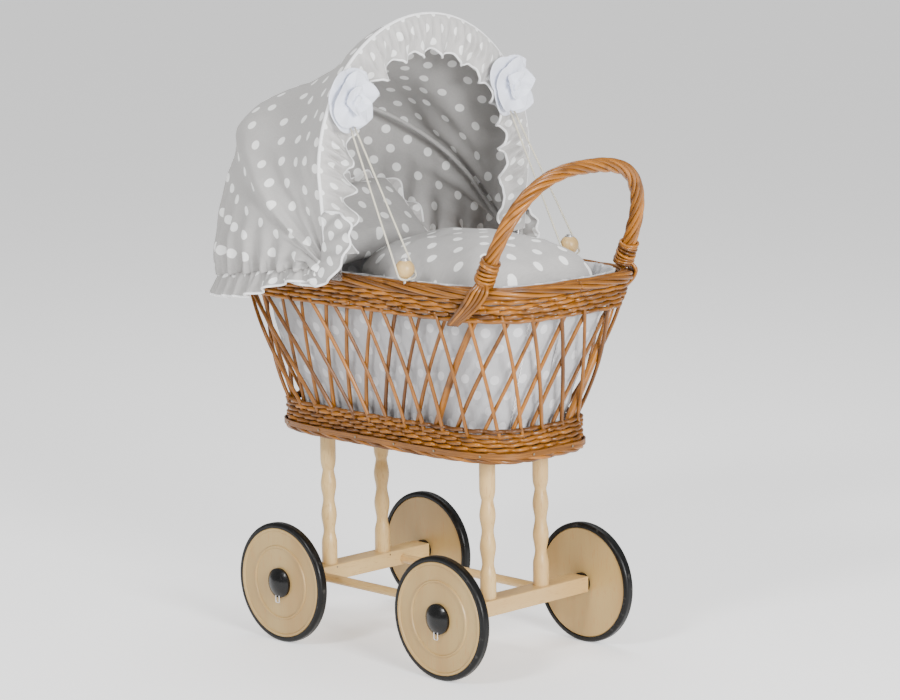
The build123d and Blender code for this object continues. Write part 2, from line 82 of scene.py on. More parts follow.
def srgb(red, green, blue):
    """A colour given as seen on a screen, 0 to 255, in the linear values that shaders use."""
    return tuple((c / 255 / 12.92) if c < 10.3 else ((c / 255 + 0.055) / 1.055) ** 2.4
                 for c in (red, green, blue))


# ---- what a user would change ------------------------------------------------------
def size(name, description, default):
    return bpy.props.FloatProperty(name=name, description=description, default=default * MM,
                                   unit="LENGTH", subtype="DISTANCE")


def colour(name, description, default):
    return bpy.props.FloatVectorProperty(name=name, description=description, default=default,
                                         size=3, subtype="COLOR", min=0.0, max=1.0)


class PramWicker(bpy.types.PropertyGroup):
    """Sizes and stain of the willow work."""

    stain: colour("Stain", "Colour of the stained and varnished willow", (0.062, 0.019, 0.001))
    pale: colour("Pale stain", "Stain on the rods that took less of it", (0.40, 0.145, 0.013))
    weaver: size("Weaver radius", "Radius of the rods woven round the bands", 2.45)
    cane: size("Cane radius", "Radius of the lattice's canes", 2.05)
    upper_rows: bpy.props.IntProperty(name="Upper rows", description="Rows in the upper band",
                                      default=5, min=3, max=12)
    lower_rows: bpy.props.IntProperty(name="Lower rows", description="Rows in the lower band",
                                      default=5, min=3, max=12)


class PramHood(bpy.types.PropertyGroup):
    """Cloth of the hood and its trimmings."""

    ground: colour("Ground", "Colour of the printed cotton", srgb(174, 172, 170))
    dot: colour("Dots", "Colour of the printed dots", srgb(242, 242, 240))
    binding: colour("Binding", "Colour of the white edge binding", srgb(246, 246, 246))
    ribbon: colour("Ribbon", "Colour of the rosettes' voile", srgb(236, 240, 252))
    dot_radius: size("Dot radius", "Radius of a printed dot", 5.0)
    ruffle: size("Ruffle depth", "Depth of the face ruffle's waves", 6.0)


class PramBedding(bpy.types.PropertyGroup):
    """Cloth of the bedding and the lining."""

    lining: colour("Lining", "Colour of the thin lining", srgb(186, 186, 188))
    ticking: colour("Ticking", "Colour of the mattress cover", srgb(225, 225, 225))
    swell: size("Swell", "How far the stuffing may push the cloth out", 7.0)


class PramWood(bpy.types.PropertyGroup):
    """Beech of the undercarriage."""

    beech: colour("Beech", "Colour of the lacquered beech", srgb(206, 174, 116))
    fleck: colour("Flecks", "Colour of the beech's short flecks", srgb(170, 126, 72))
    disc: colour("Wheel plywood", "Colour of the wheels' plywood faces", srgb(172, 144, 92))


class PramStage(bpy.types.PropertyGroup):
    """Camera, floor and lights."""

    lens: bpy.props.FloatProperty(name="Lens", description="Focal length on a 36 mm sensor",
                                  default=131.8, unit="CAMERA")
    eye: bpy.props.FloatVectorProperty(name="Camera place", description="Where the camera stands",
                                       default=(2.4438, -2.4299, 0.8809), subtype="XYZ",
                                       unit="LENGTH")
    heading: bpy.props.FloatProperty(name="Heading", description="Turn of the view from +Y",
                                     default=math.radians(44.83), subtype="ANGLE")
    dip: bpy.props.FloatProperty(name="Dip", description="How far the view looks down",
                                 default=math.radians(9.3), subtype="ANGLE")
    roll: bpy.props.FloatProperty(name="Roll", description="Turn of the picture",
                                  default=math.radians(-0.65), subtype="ANGLE")


# ---- curves and surfaces in numbers, in millimetres ----------------------------------
def unit(vectors):
    return vectors / np.maximum(np.linalg.norm(vectors, axis=-1, keepdims=True), 1e-12)


def ease(share):
    """0 to 1 with a soft start and end."""
    share = np.clip(share, 0.0, 1.0)
    return share * share * (3 - 2 * share)


def through(stations, at):
    """Height at each place of `at` on a smooth curve through (place, height) stations."""
    place, height = np.array(stations, float).T
    slope = np.gradient(height, place)
    k = np.clip(np.searchsorted(place, at) - 1, 0, len(place) - 2)
    span = place[k + 1] - place[k]
    t = np.clip((at - place[k]) / span, 0, 1)
    return ((1 + 2 * t) * (1 - t) ** 2 * height[k] + t * (1 - t) ** 2 * span * slope[k]
            + t * t * (3 - 2 * t) * height[k + 1] + t * t * (t - 1) * span * slope[k + 1])


def lengths(path):
    """Distance along a path up to each of its points."""
    return np.r_[0, np.cumsum(np.linalg.norm(np.diff(path, axis=0), axis=1))]


def even(path, count, closed=False):
    """The same line with evenly spaced points."""
    path = np.asarray(path, float)
    if closed:
        path = np.vstack([path, path[:1]])
    along = lengths(path)
    at = np.linspace(0, along[-1], count, endpoint=not closed)
    return np.stack([np.interp(at, along, path[:, i]) for i in range(3)], 1)


def carried_frames(path, closed=False):
    """Two normals at each point of a path, carried along it without twist."""
    if closed:
        ahead = np.roll(path, -1, 0) - np.roll(path, 1, 0)
    else:
        ahead = np.gradient(path, axis=0)
    tangents = unit(ahead)
    normal = np.eye(3)[np.argmin(abs(tangents[0]))]
    normals = []
    for tangent in tangents:
        normal = normal - tangent * (normal @ tangent)
        normal = normal / np.linalg.norm(normal)
        normals.append(normal)
    normals = np.array(normals)
    return normals, np.cross(tangents, normals)


def drift(places, seed):
    """Slow wandering between -1 and 1 along a line of places."""
    return np.array([noise.noise(Vector((p, seed * 7.31, 0.5))) for p in np.ravel(places)]
                    ).reshape(np.shape(places)) * 1.6


def drift_over(first, second, seed):
    """Slow wandering between -1 and 1 over a grid of places."""
    pairs = zip(np.ravel(first), np.ravel(second))
    return np.array([noise.noise(Vector((a, b, seed * 3.17))) for a, b in pairs]
                    ).reshape(np.shape(first)) * 1.6


def surface_normals(points, closed=False):
    """Unit normals of a grid of points."""
    across = np.gradient(points, axis=1)
    if closed:
        across = np.roll(points, -1, 1) - np.roll(points, 1, 1)
    return unit(np.cross(np.gradient(points, axis=0), across))


# ---- the basket's wall -----------------------------------------------------------------
corner_power = 4.4
foot_box, lower_box = node_box("foot_border"), node_box("lower_band")
upper_box, rim_box = node_box("upper_band"), node_box("rim_border")
foot_level, strip_level, band_level = foot_box[0][2], lower_box[0][2], lower_box[1][2]
upper_level, border_level, rim_level = upper_box[0][2], upper_box[1][2], rim_box[1][2]
wall_stations = [          # level, half length and half width of the wall's outer face
    (foot_level, 175.0, 82.0), (band_level, 172.5, 86.5), (upper_level, 209.0, 116.0),
    (border_level, upper_box[1][0], upper_box[1][1]), (rim_level, rim_box[1][0], rim_box[1][1]),
]
canes_around = 32
cane_lean = 1.45           # spacings that a cane leans by over the open lattice
post_places = (2, 28)      # thick canes that carry the handle


def wall_outline(level, inset, bearing):
    """Points of the wall at a level, inset from its outer face, towards given bearings."""
    level = np.asarray(level, float)
    stations = np.array(wall_stations)
    half_x = np.interp(level, stations[:, 0], stations[:, 1]) - inset
    half_y = np.interp(level, stations[:, 0], stations[:, 2]) - inset
    c, s = np.cos(bearing), np.sin(bearing)
    reach = (abs(c / half_x) ** corner_power + abs(s / half_y) ** corner_power) ** (-1 / corner_power)
    return np.stack(np.broadcast_arrays(reach * c, reach * s, level), -1)


bearing_table = np.linspace(0, 2 * math.pi, 3601)
share_table = lengths(wall_outline((band_level + upper_level) / 2, 0.0, bearing_table))
wall_round = share_table[-1]
share_table = share_table / wall_round


def wall(share, level, inset=0.0):
    """Points of the wall at a share of the way round, counted from the handle end."""
    bearing = np.interp(np.mod(share, 1.0), share_table, bearing_table)
    return wall_outline(level, inset, bearing)


# ---- meshes ------------------------------------------------------------------------
def add_piece(name, mesh, material):
    piece = bpy.data.objects.new(name, mesh)
    bpy.context.scene.collection.objects.link(piece)
    mesh.materials.clear()
    mesh.materials.append(material)
    mesh.polygons.foreach_set("use_smooth", [True] * len(mesh.polygons))
    return piece


def attribute(mesh, name, values, domain="POINT"):
    values = np.asarray(values, np.float32)
    kind = "FLOAT_VECTOR" if values.ndim == 2 else "FLOAT"
    made = mesh.attributes.new(name, kind, domain)
    made.data.foreach_set("vector" if values.ndim == 2 else "value", values.ravel())


class Rods:
    """Round rods, canes and cords that are gathered into one mesh."""

    def __init__(self, seed):
        self.random = np.random.default_rng(seed)
        self.points, self.faces, self.grain, self.tone, self.count = [], [], [], [], 0

    def add(self, path, radius, closed=False, sides=7):
        path = np.asarray(path, float)
        n = len(path)
        a, b = carried_frames(path, closed)
        turn = np.arange(sides) * 2 * math.pi / sides
        radius = np.broadcast_to(radius, n)[:, None, None]
        ring = a[:, None] * np.cos(turn)[None, :, None] + b[:, None] * np.sin(turn)[None, :, None]
        self.points.append((path[:, None] + ring * radius).reshape(-1, 3))
        along = np.repeat(lengths(path) + self.random.uniform(0, 900), sides)
        tilt = np.tile(turn, n)
        self.grain.append(np.stack([along, 2 * np.cos(tilt), 2 * np.sin(tilt)], 1))
        self.tone.append(np.full(n * sides, self.random.uniform(0, 1)))
        start = (np.arange(n if closed else n - 1) * sides)[:, None]
        j = np.arange(sides)[None]
        k, after = (j + 1) % sides, (start + sides) % (n * sides)
        quads = np.stack([start + j, start + k, after + k, after + j], -1).reshape(-1, 4)
        self.faces += (quads + self.count).tolist()
        if not closed:
            self.faces.append([self.count + i for i in reversed(range(sides))])
            self.faces.append([self.count + (n - 1) * sides + i for i in range(sides)])
        self.count += n * sides

    def add_rope(self, path, strands, offset, radius, pitch, closed=False, sides=7, wander=0.0):
        """Strands that twist round a line, one turn to each pitch."""
        a, b = carried_frames(path, closed)
        along = lengths(path)
        round_trip = along[-1] + (np.linalg.norm(path[0] - path[-1]) if closed else 0)
        turns = round_trip / pitch
        if closed:
            turns = round(turns * strands) / strands
        for i in range(strands):
            turn = 2 * math.pi * (i / strands + turns * along / round_trip)
            off = np.full(len(path), offset)
            if wander:
                off = off * (1 + wander * drift(along / 40, i))
            line = path + off[:, None] * (a * np.cos(turn)[:, None] + b * np.sin(turn)[:, None])
            self.add(line, radius, sides=sides)

    def piece(self, name, material, slot, body, *nodes):
        mesh = bpy.data.meshes.new(name)
        mesh.from_pydata((np.vstack(self.points) * MM).tolist(), [], self.faces)
        attribute(mesh, "grain", np.vstack(self.grain) * MM)
        attribute(mesh, "tone", np.concatenate(self.tone))
        made = add_piece(name, mesh, material)
        if body:
            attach(made, body)
        if nodes:
            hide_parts(*nodes)
        return made


def dot_rows(low, high, pitch):
    """Centres of printed dots in staggered rows over a flat stretch of cloth."""
    centres = []
    for row, v in enumerate(np.arange(low[1], high[1] + pitch, pitch)):
        for u in np.arange(low[0], high[0] + 2 * pitch, 2 * pitch):
            centres.append((u + pitch * (row % 2), v, 0.0))
    return np.array(centres)


def print_dots(mesh, flat, centres):
    """Gives each face corner its way from the nearest dot, measured on the flat cloth."""
    tree = kdtree.KDTree(len(centres))
    for i, centre in enumerate(centres):
        tree.insert(centre, i)
    tree.balance()
    corners = np.empty(len(mesh.loops), np.int32)
    mesh.loops.foreach_get("vertex_index", corners)
    starts, totals = np.empty(len(mesh.polygons), np.int32), np.empty(len(mesh.polygons), np.int32)
    mesh.polygons.foreach_get("loop_start", starts)
    mesh.polygons.foreach_get("loop_total", totals)
    spots = np.add.reduceat(flat[corners], starts, axis=0) / totals[:, None]
    nearest = np.array([tree.find(spot)[1] for spot in spots])
    attribute(mesh, "dot", (flat[corners] - centres[np.repeat(nearest, totals)]) * MM, "CORNER")
    attribute(mesh, "cloth", flat * MM)


def cloth_mesh(name, points, flat, centres, closed=False):
    """A grid of cloth. Rows run along the first index, and the second closes on itself if asked."""
    rows, columns = points.shape[:2]
    last = columns if closed else columns - 1
    i, j = np.meshgrid(np.arange(rows - 1), np.arange(last), indexing="ij")
    k = (j + 1) % columns
    quads = np.stack([i * columns + j, (i + 1) * columns + j, (i + 1) * columns + k,
                      i * columns + k], -1).reshape(-1, 4)
    mesh = bpy.data.meshes.new(name)
    mesh.from_pydata((points.reshape(-1, 3) * MM).tolist(), [], quads.tolist())
    flat = flat.reshape(len(mesh.vertices), -1)
    if flat.shape[1] == 2:
        flat = np.column_stack([flat, np.zeros(len(flat))])
    print_dots(mesh, flat, centres)
    return mesh


def thicken(piece, thickness):
    layer = piece.modifiers.new("Cloth thickness", "SOLIDIFY")
    layer.thickness = thickness * MM
    layer.offset = 0.0


# ---- materials -----------------------------------------------------------------------
class Value:
    """A socket of a material, on which sums can be written."""

    def __init__(self, tree, socket):
        self.tree, self.socket = tree, socket

    def maths(self, operation, other=None, reflected=False):
        made = self.tree.nodes.new("ShaderNodeMath")
        made.operation = operation
        terms = (other, self) if reflected else (self, other)
        for slot, term in zip(made.inputs, terms):
            if isinstance(term, Value):
                self.tree.links.new(term.socket, slot)
            elif term is not None:
                slot.default_value = term
        return Value(self.tree, made.outputs[0])

    def __add__(self, other):
        return self.maths("ADD", other)

    def __radd__(self, other):
        return self.maths("ADD", other, True)

    def __sub__(self, other):
        return self.maths("SUBTRACT", other)

    def __rsub__(self, other):
        return self.maths("SUBTRACT", other, True)

    def __mul__(self, other):
        return self.maths("MULTIPLY", other)

    def __rmul__(self, other):
        return self.maths("MULTIPLY", other, True)

    def __pow__(self, other):
        return self.maths("POWER", other)


class Finish:
    """A material in the making: one Principled shader and what feeds it."""

    def __init__(self, name, constants):
        self.material = bpy.data.materials.new(name)
        self.material.use_nodes = True
        self.tree = self.material.node_tree
        self.shader = self.tree.nodes["Principled BSDF"]
        for socket, value in constants.items():
            self.shader.inputs[socket].default_value = value

    def node(self, kind, settings, sockets, output=0):
        made = self.tree.nodes.new(kind)
        for key, value in settings.items():
            setattr(made, key, value)
        for key, value in sockets.items():
            if isinstance(value, Value):
                self.tree.links.new(value.socket, made.inputs[key])
            else:
                made.inputs[key].default_value = value
        return Value(self.tree, made.outputs[output])

    def feed(self, **values):
        for key, value in values.items():
            self.tree.links.new(value.socket, self.shader.inputs[key.replace("_", " ").title()])

    def stored(self, name, output="Vector"):
        return self.node("ShaderNodeAttribute", {"attribute_name": name}, {}, output)

    def place(self):
        return self.node("ShaderNodeTexCoord", {}, {}, "Object")

    def stretched(self, vector, scale):
        return self.node("ShaderNodeMapping", {}, {"Vector": vector, "Scale": scale})

    def cloudy(self, vector, scale, detail=2.0):
        return self.node("ShaderNodeTexNoise", {}, {"Vector": vector, "Scale": scale,
                                                    "Detail": detail})

    def ribbed(self, vector, scale, axis):
        return self.node("ShaderNodeTexWave", {"bands_direction": axis},
                         {"Vector": vector, "Scale": scale}, "Fac")

    def between(self, value, low, high, to_low=0.0, to_high=1.0):
        return self.node("ShaderNodeMapRange", {}, {0: value, 1: low, 2: high, 3: to_low,
                                                    4: to_high})

    def mixed(self, factor, first, second):
        """A colour between two."""
        first, second = [c if isinstance(c, Value) else (*c, 1.0) for c in (first, second)]
        return self.node("ShaderNodeMix", {"data_type": "RGBA"}, {0: factor, 6: first, 7: second},
                         2)

    def bump(self, height, distance, strength=1.0):
        return self.node("ShaderNodeBump", {}, {"Height": height, "Distance": distance,
                                                "Strength": strength})


def willow_finish(wicker):
    """Stained willow under varnish: each rod its own tone, with streaks and darker joints."""
    made = Finish("Varnished willow", {"Coat Weight": 0.22, "Coat Roughness": 0.25,
                                       "Specular IOR Level": 0.35})
    grain, tone = made.stored("grain"), made.stored("tone", "Fac")
    streaks = made.cloudy(made.stretched(grain, (60.0, 900.0, 900.0)), 1.0, 3.0)
    patches = made.cloudy(made.stretched(grain, (22.0, 60.0, 60.0)), 1.0, 2.0)
    paleness = tone * 0.65 + made.between(patches, 0.35, 0.7) * 0.35
    base = made.mixed(paleness, wicker.stain, wicker.pale)
    dark = tuple(0.25 * c for c in wicker.stain)
    blots = made.cloudy(made.stretched(grain, (30.0, 10.0, 10.0)), 1.0, 0.0)
    joints = made.between(blots, 0.70, 0.78)
    base = made.mixed(made.between(streaks, 0.52, 0.72, 0.0, 0.55), base, wicker.stain)
    made.feed(base_color=made.mixed(joints * 0.75, base, dark),
              roughness=made.between(streaks, 0.3, 0.7, 0.28, 0.46),
              normal=made.bump(streaks, 0.0004, 0.6))
    return made.material


def split_cane_finish(wicker):
    """Flat split cane nailed round the foot, with fine lines along it."""
    made = Finish("Varnished split cane", {"Coat Weight": 0.15, "Coat Roughness": 0.3,
                                           "Specular IOR Level": 0.3})
    dulled = tuple(0.72 * c for c in wicker.pale)
    fibres = made.cloudy(made.stretched(made.place(), (25.0, 25.0, 1400.0)), 1.0, 3.0)
    made.feed(base_color=made.mixed(made.between(fibres, 0.3, 0.7), wicker.stain, dulled),
              roughness=made.between(fibres, 0.3, 0.7, 0.35, 0.5),
              normal=made.bump(fibres, 0.0003, 0.6))
    return made.material


def beech_finish(name, ground, fleck, along, lacquer=0.25):
    """Lacquered beech with its short flecks along one axis."""
    made = Finish(name, {"Coat Weight": lacquer, "Coat Roughness": 0.3})
    place = made.place()
    fine = [1000.0 if axis != along else 90.0 for axis in "XYZ"]
    broad = [26.0 if axis != along else 3.5 for axis in "XYZ"]
    flecks = made.cloudy(made.stretched(place, fine), 1.0, 1.0)
    figure = made.cloudy(made.stretched(place, broad), 1.0, 3.0)
    warm = tuple(min(1.0, g * k) for g, k in zip(ground, (0.84, 0.76, 0.66)))
    base = made.mixed(made.between(figure, 0.35, 0.68), ground, warm)
    made.feed(base_color=made.mixed(made.between(flecks, 0.60, 0.72, 0.0, 0.65), base, fleck),
              roughness=made.between(figure, 0.3, 0.7, 0.38, 0.5),
              normal=made.bump(flecks, 0.0002, 0.35))
    return made.material


def cotton_finish(name, ground, dot, dot_radius, crease=0.0022, strength=1.0):
    """Printed cotton with a plain weave, small creases and round dots."""
    made = Finish(name, {"Roughness": 0.92, "Specular IOR Level": 0.15, "Sheen Weight": 0.1,
                         "Subsurface Weight": 0.15, "Subsurface Scale": 0.0015,
                         "Subsurface Radius": (1.0, 1.0, 1.0)})
    cloth = made.stored("cloth")
    threads = made.ribbed(cloth, 620.0, "X") + made.ribbed(cloth, 620.0, "Y")
    slubs = made.cloudy(made.stretched(cloth, (900.0, 120.0, 900.0)), 1.0, 2.0)
    creases = made.cloudy(cloth, 42.0, 3.0)
    away = made.node("ShaderNodeVectorMath", {"operation": "LENGTH"}, {0: made.stored("dot")},
                     "Value")
    mask = made.between(away, dot_radius - 0.0003, dot_radius + 0.0003, strength, 0.0)
    shade = tuple(0.90 * c for c in ground)
    woven = made.mixed(made.between(slubs, 0.3, 0.7), shade, ground)
    height = creases + threads * 0.012 + slubs * 0.03
    made.feed(base_color=made.mixed(mask, woven, dot), normal=made.bump(height, crease, 0.9))
    return made.material


def binding_finish(name, tint, ribs=900.0, distance=0.0003):
    """White tape or ribbon with fine threads."""
    made = Finish(name, {"Roughness": 0.85, "Specular IOR Level": 0.25, "Sheen Weight": 0.3})
    place = made.place()
    threads = made.cloudy(place, ribs, 2.0)
    shade = tuple(0.88 * c for c in tint)
    made.feed(base_color=made.mixed(made.between(threads, 0.3, 0.7), shade, tint),
              normal=made.bump(threads, distance, 0.7))
    return made.material


def braid_finish():
    """Round braided elastic."""
    made = Finish("Braided elastic", {"Roughness": 0.8, "Sheen Weight": 0.2})
    grain = made.stored("grain")
    braid = made.ribbed(grain, 260.0, "X") * made.ribbed(grain, 300.0, "Y")
    made.feed(base_color=made.mixed(braid, srgb(206, 199, 176), srgb(240, 236, 222)),
              normal=made.bump(braid, 0.0004, 0.8))
    return made.material


def plastic_finish():
    """Glossy black moulded plastic."""
    made = Finish("Moulded black plastic", {"Specular IOR Level": 0.35})
    moulding = made.cloudy(made.place(), 420.0, 2.0)
    made.feed(base_color=made.mixed(moulding, (0.002, 0.002, 0.002), (0.006, 0.006, 0.006)),
              roughness=made.between(moulding, 0.3, 0.7, 0.16, 0.28),
              normal=made.bump(moulding, 0.0002, 0.25))
    return made.material


def rubber_finish():
    """Smooth black rubber with dusty scuffs."""
    made = Finish("Black rubber", {"Specular IOR Level": 0.25})
    scuffs = made.cloudy(made.place(), 160.0, 4.0)
    made.feed(base_color=made.mixed(made.between(scuffs, 0.62, 0.8), (0.004, 0.004, 0.004),
                                    (0.05, 0.048, 0.045)),
              roughness=made.between(scuffs, 0.3, 0.8, 0.26, 0.5),
              normal=made.bump(scuffs, 0.0003, 0.3))
    return made.material


def steel_finish(name="Bright zinc steel", tint=(0.74, 0.74, 0.75)):
    """Bright zinc plated steel."""
    made = Finish(name, {"Metallic": 1.0})
    lines = made.cloudy(made.place(), 700.0, 2.0)
    made.feed(base_color=made.mixed(lines, tuple(0.8 * c for c in tint), tint),
              roughness=made.between(lines, 0.3, 0.7, 0.2, 0.38),
              normal=made.bump(lines, 0.0001, 0.3))
    return made.material


def floor_finish():
    """Matt pale floor."""
    made = Finish("Pale floor", {"Roughness": 0.9, "Specular IOR Level": 0.2,
                                 "Emission Color": (1, 1, 1, 1), "Emission Strength": 0.6})
    made.feed(base_color=made.mixed(made.cloudy(made.place(), 3.0), (0.86, 0.86, 0.86),
                                    (0.88, 0.88, 0.88)))
    return made.material


def shared(name, make, *inputs):
    """A finish that several pieces wear, made once."""
    return bpy.data.materials.get(name) or make(*inputs)


def printed_cotton():
    hood = bpy.context.scene.pram_hood
    return shared("Printed cotton", cotton_finish, "Printed cotton", tuple(hood.ground),
                  tuple(hood.dot), hood.dot_radius)


def ruffle_cotton():
    hood = bpy.context.scene.pram_hood
    pale = tuple(min(1.0, 1.22 * c) for c in hood.ground)
    return shared("Ruffle cotton", cotton_finish, "Ruffle cotton", pale, tuple(hood.dot),
                  hood.dot_radius)


def white_binding():
    hood = bpy.context.scene.pram_hood
    return shared("White binding", binding_finish, "White binding", tuple(hood.binding))


def varnished_willow():
    return shared("Varnished willow", willow_finish, bpy.context.scene.pram_wicker)


def dress(material, *nodes):
    """Gives CAD nodes a finish through their own material slots."""
    for name in nodes:
        node = frame["nodes"][name]
        for slot in node.material_slots:
            slot.link = "OBJECT"
            slot.material = material
        if not node.material_slots:
            node.data.materials.append(material)


# ---- the hood's form -------------------------------------------------------------------
pivot = joint_place("hood_fold")
hood_rise = 97.0           # height of the hoops' round part above the pivots
middle_angle = 50.0        # lean of the middle hoop, in degrees
hem_angle = 98.0           # the hood's gathered hem
plateau = 3.0              # degrees each side of the middle hoop weighted as it is
middle_share = 1 / 3       # the middle hoop's turn for each degree of the front one's
hem_half_width, hem_depth, hem_power = 147.5, 231.0, 3.6
face_radius, face_foot = 154.0, 147.0          # outline of the cloth at the front hoop
cotton_thickness, edge_radius = 0.9, 1.3
crown_reach = [            # angle back from upright, distance of the crown from the pivots
    (0.0, 251.0), (4.0, 247.0), (13.0, 230.0), (25.0, 219.0), (38.0, 226.0), (49.0, 243.0),
    (57.0, 247.0), (66.0, 243.0), (77.0, 237.0), (90.0, 231.0), (98.0, 229.0),
]
hood_half_width = [(0.0, 154.0), (12.0, 149.0), (25.0, 144.5), (38.0, 145.0), (50.0, 148.5),
                   (65.0, 151.0), (80.0, 150.0), (98.0, 147.5)]


def hoop_line(radius, foot, count):
    """An upright hoop, round on two legs, as points (0, y, height above the pivots)."""
    turn = np.linspace(0, math.pi, 181)
    arc = np.stack([0 * turn, radius * np.cos(turn), hood_rise + radius * np.sin(turn)], 1)
    return even(np.vstack([[0.0, foot, 0.0], arc, [0.0, -foot, 0.0]]), count)


def hem_line(half_width, depth, power, count):
    """The hood's lower outline, a rounded rectangle, in the same form as a hoop."""
    bearing = np.linspace(0, math.pi, 721)
    c, s = np.cos(bearing), np.sin(bearing)
    reach = (abs(c / half_width) ** power + abs(s / depth) ** power) ** (-1 / power)
    return even(np.stack([0 * c, reach * c, reach * s], 1), count)


def swung(line, angle):
    """A hoop's points leaned back about the pivots by an angle in degrees."""
    lean = np.radians(angle)
    height = line[..., 2]
    return np.stack([pivot[0] - height * np.sin(lean), line[..., 1],
                     pivot[2] + height * np.cos(lean)], -1)


def hood_surface(angles, count):
    """The hood's cloth before its folds, a grid of (angle, way round)."""
    front = hoop_line(face_radius, face_foot, count)
    rear = hem_line(hem_half_width, hem_depth, hem_power, count)
    rows = []
    for angle in angles:
        toward = float(ease(angle / 90.0))
        line = (1 - toward) * front + toward * rear
        sag = 0.10 * math.sin(math.pi * min(angle, middle_angle) / middle_angle)
        shoulder = 0.07 * math.sin(math.pi * min(max(angle - middle_angle, 0.0), 40.0) / 40.0)
        line[:, 1] *= 1 - (sag + shoulder) * ease((line[:, 2] / line[:, 2].max() - 0.45) / 0.4)
        line[:, 2] *= float(through(crown_reach, angle)) / line[:, 2].max()
        line[:, 1] *= float(through(hood_half_width, angle)) / line[:, 1].max()
        rows.append(swung(line, angle))
    return np.array(rows)


def fold_weight(points):
    """Share of the front hoop's turn for the cloth at each point."""
    away = points - pivot
    angle = abs(np.degrees(np.arctan2(-away[..., 0], away[..., 2])))
    return np.interp(angle, [0.0, middle_angle - plateau, middle_angle + plateau, hem_angle],
                     [1.0, middle_share, middle_share, 0.0])


def bend_with_hood(piece, weights):
    """Bakes the cloth's placement into its mesh; the weights are not used."""
    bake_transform(piece)


def piping(name, path, radius, body, closed=False, weights=None):
    """Bound edge along a line of cloth."""
    cord = Rods(5)
    cord.add(path, radius, closed=closed, sides=8)
    made = cord.piece(name, white_binding(), "white_ribbon", body)
    if weights is not None:
        bend_with_hood(made, np.repeat(weights, 8))
    return made


# ---- operators -----------------------------------------------------------------------
studio_lights = (          # name, place, width and power of each round area light
    ("Key light", (0.5, -2.8, 2.3), 0.7, 72.0),
    ("Front light", (2.5, -0.8, 1.05), 0.9, 104.0),
    ("Top light", (-0.6, 0.6, 2.6), 1.6, 34.0),
)
lit_point = (0, 0, 0.35)   # where every light points
studio_glow = 0.46         # strength of the even light all round


class PRAM_OT_stage(bpy.types.Operator):
    """Set up the camera, the floor and soft studio lights"""

    bl_idname = "pram.stage"
    bl_label = "Stage"

    def execute(self, context):
        stage = context.scene.pram_stage
        lens = bpy.data.cameras.new("Camera")
        lens.lens, lens.sensor_width = stage.lens, 36.0
        lens.clip_end = 50.0
        camera = bpy.data.objects.new("Camera", lens)
        context.scene.collection.objects.link(camera)
        a, p, roll = stage.heading, stage.dip, stage.roll
        forward = Vector((-math.sin(a) * math.cos(p), math.cos(a) * math.cos(p), -math.sin(p)))
        right = forward.cross(Vector((0, 0, 1))).normalized()
        up = right.cross(forward)
        x = math.cos(roll) * right + math.sin(roll) * up
        y = math.cos(roll) * up - math.sin(roll) * right
        turn = Matrix((x, y, -forward)).transposed().to_4x4()
        camera.matrix_world = Matrix.Translation(stage.eye) @ turn
        context.scene.camera = camera

        bpy.ops.mesh.primitive_plane_add(size=40.0)
        floor = context.active_object
        floor.name = "floor"
        floor.data.materials.append(floor_finish())
        world = bpy.data.worlds.new("Studio")
        world.use_nodes = True
        background = world.node_tree.nodes["Background"]
        background.inputs["Color"].default_value = (1, 1, 1, 1)
        background.inputs["Strength"].default_value = studio_glow
        context.scene.world = world
        for name, place, width, watts in studio_lights:
            self.light(name, place, width, watts)
        return {"FINISHED"}

    def light(self, name, place, width, watts):
        lamp = bpy.data.lights.new(name, "AREA")
        lamp.shape, lamp.size, lamp.energy = "DISK", width, watts
        made = bpy.data.objects.new(name, lamp)
        bpy.context.scene.collection.objects.link(made)
        toward = Vector(lit_point) - Vector(place)
        turn = toward.to_track_quat("-Z", "Y").to_matrix().to_4x4()
        made.matrix_world = Matrix.Translation(place) @ turn


class PRAM_OT_elastics(bpy.types.Operator):
    """Stretch an elastic loop from each rosette round its wooden ball"""

    bl_idname = "pram.elastics"
    bl_label = "Elastics"

    def execute(self, context):
        material = braid_finish()
        knob_level, bow_level = 0.414, 0.5625
        for side, s in (("left", -1), ("right", 1)):
            route = [(0.009, s * 0.118 - 0.003, bow_level), (0.08653, s * 0.122 - 0.0120, 0.4242),
                     (0.0923, s * 0.1225 - 0.0125, 0.4139), (0.0923, s * 0.1225 + 0.0125, 0.4139),
                     (0.08653, s * 0.122 + 0.0120, 0.4242), (0.009, s * 0.118 + 0.003, bow_level)]
            line = self.smooth_line(route)
            cord = Rods(1)
            cord.add(line / MM, 1.0, sides=8)
            made = cord.piece(f"elastic_loop_{side}", material, "elastic", None, f"elastic_{side}")
            height = ease((line[:, 2] - knob_level) / (bow_level - knob_level))
            bend_with_hood(made, np.repeat(height, 8))
        return {"FINISHED"}

    def smooth_line(self, route):
        """Points of the smooth line that a route's points control."""
        curve = bpy.data.curves.new("route", "CURVE")
        curve.dimensions, curve.resolution_u = "3D", 24
        spline = curve.splines.new("NURBS")
        spline.points.add(len(route) - 1)
        for point, place in zip(spline.points, route):
            point.co = (*place, 1.0)
        spline.order_u, spline.use_endpoint_u = 3, True
        holder = bpy.data.objects.new("route", curve)
        mesh = bpy.data.meshes.new_from_object(holder)
        line = np.array([v.co for v in mesh.vertices])
        bpy.data.objects.remove(holder)
        bpy.data.meshes.remove(mesh)
        return line


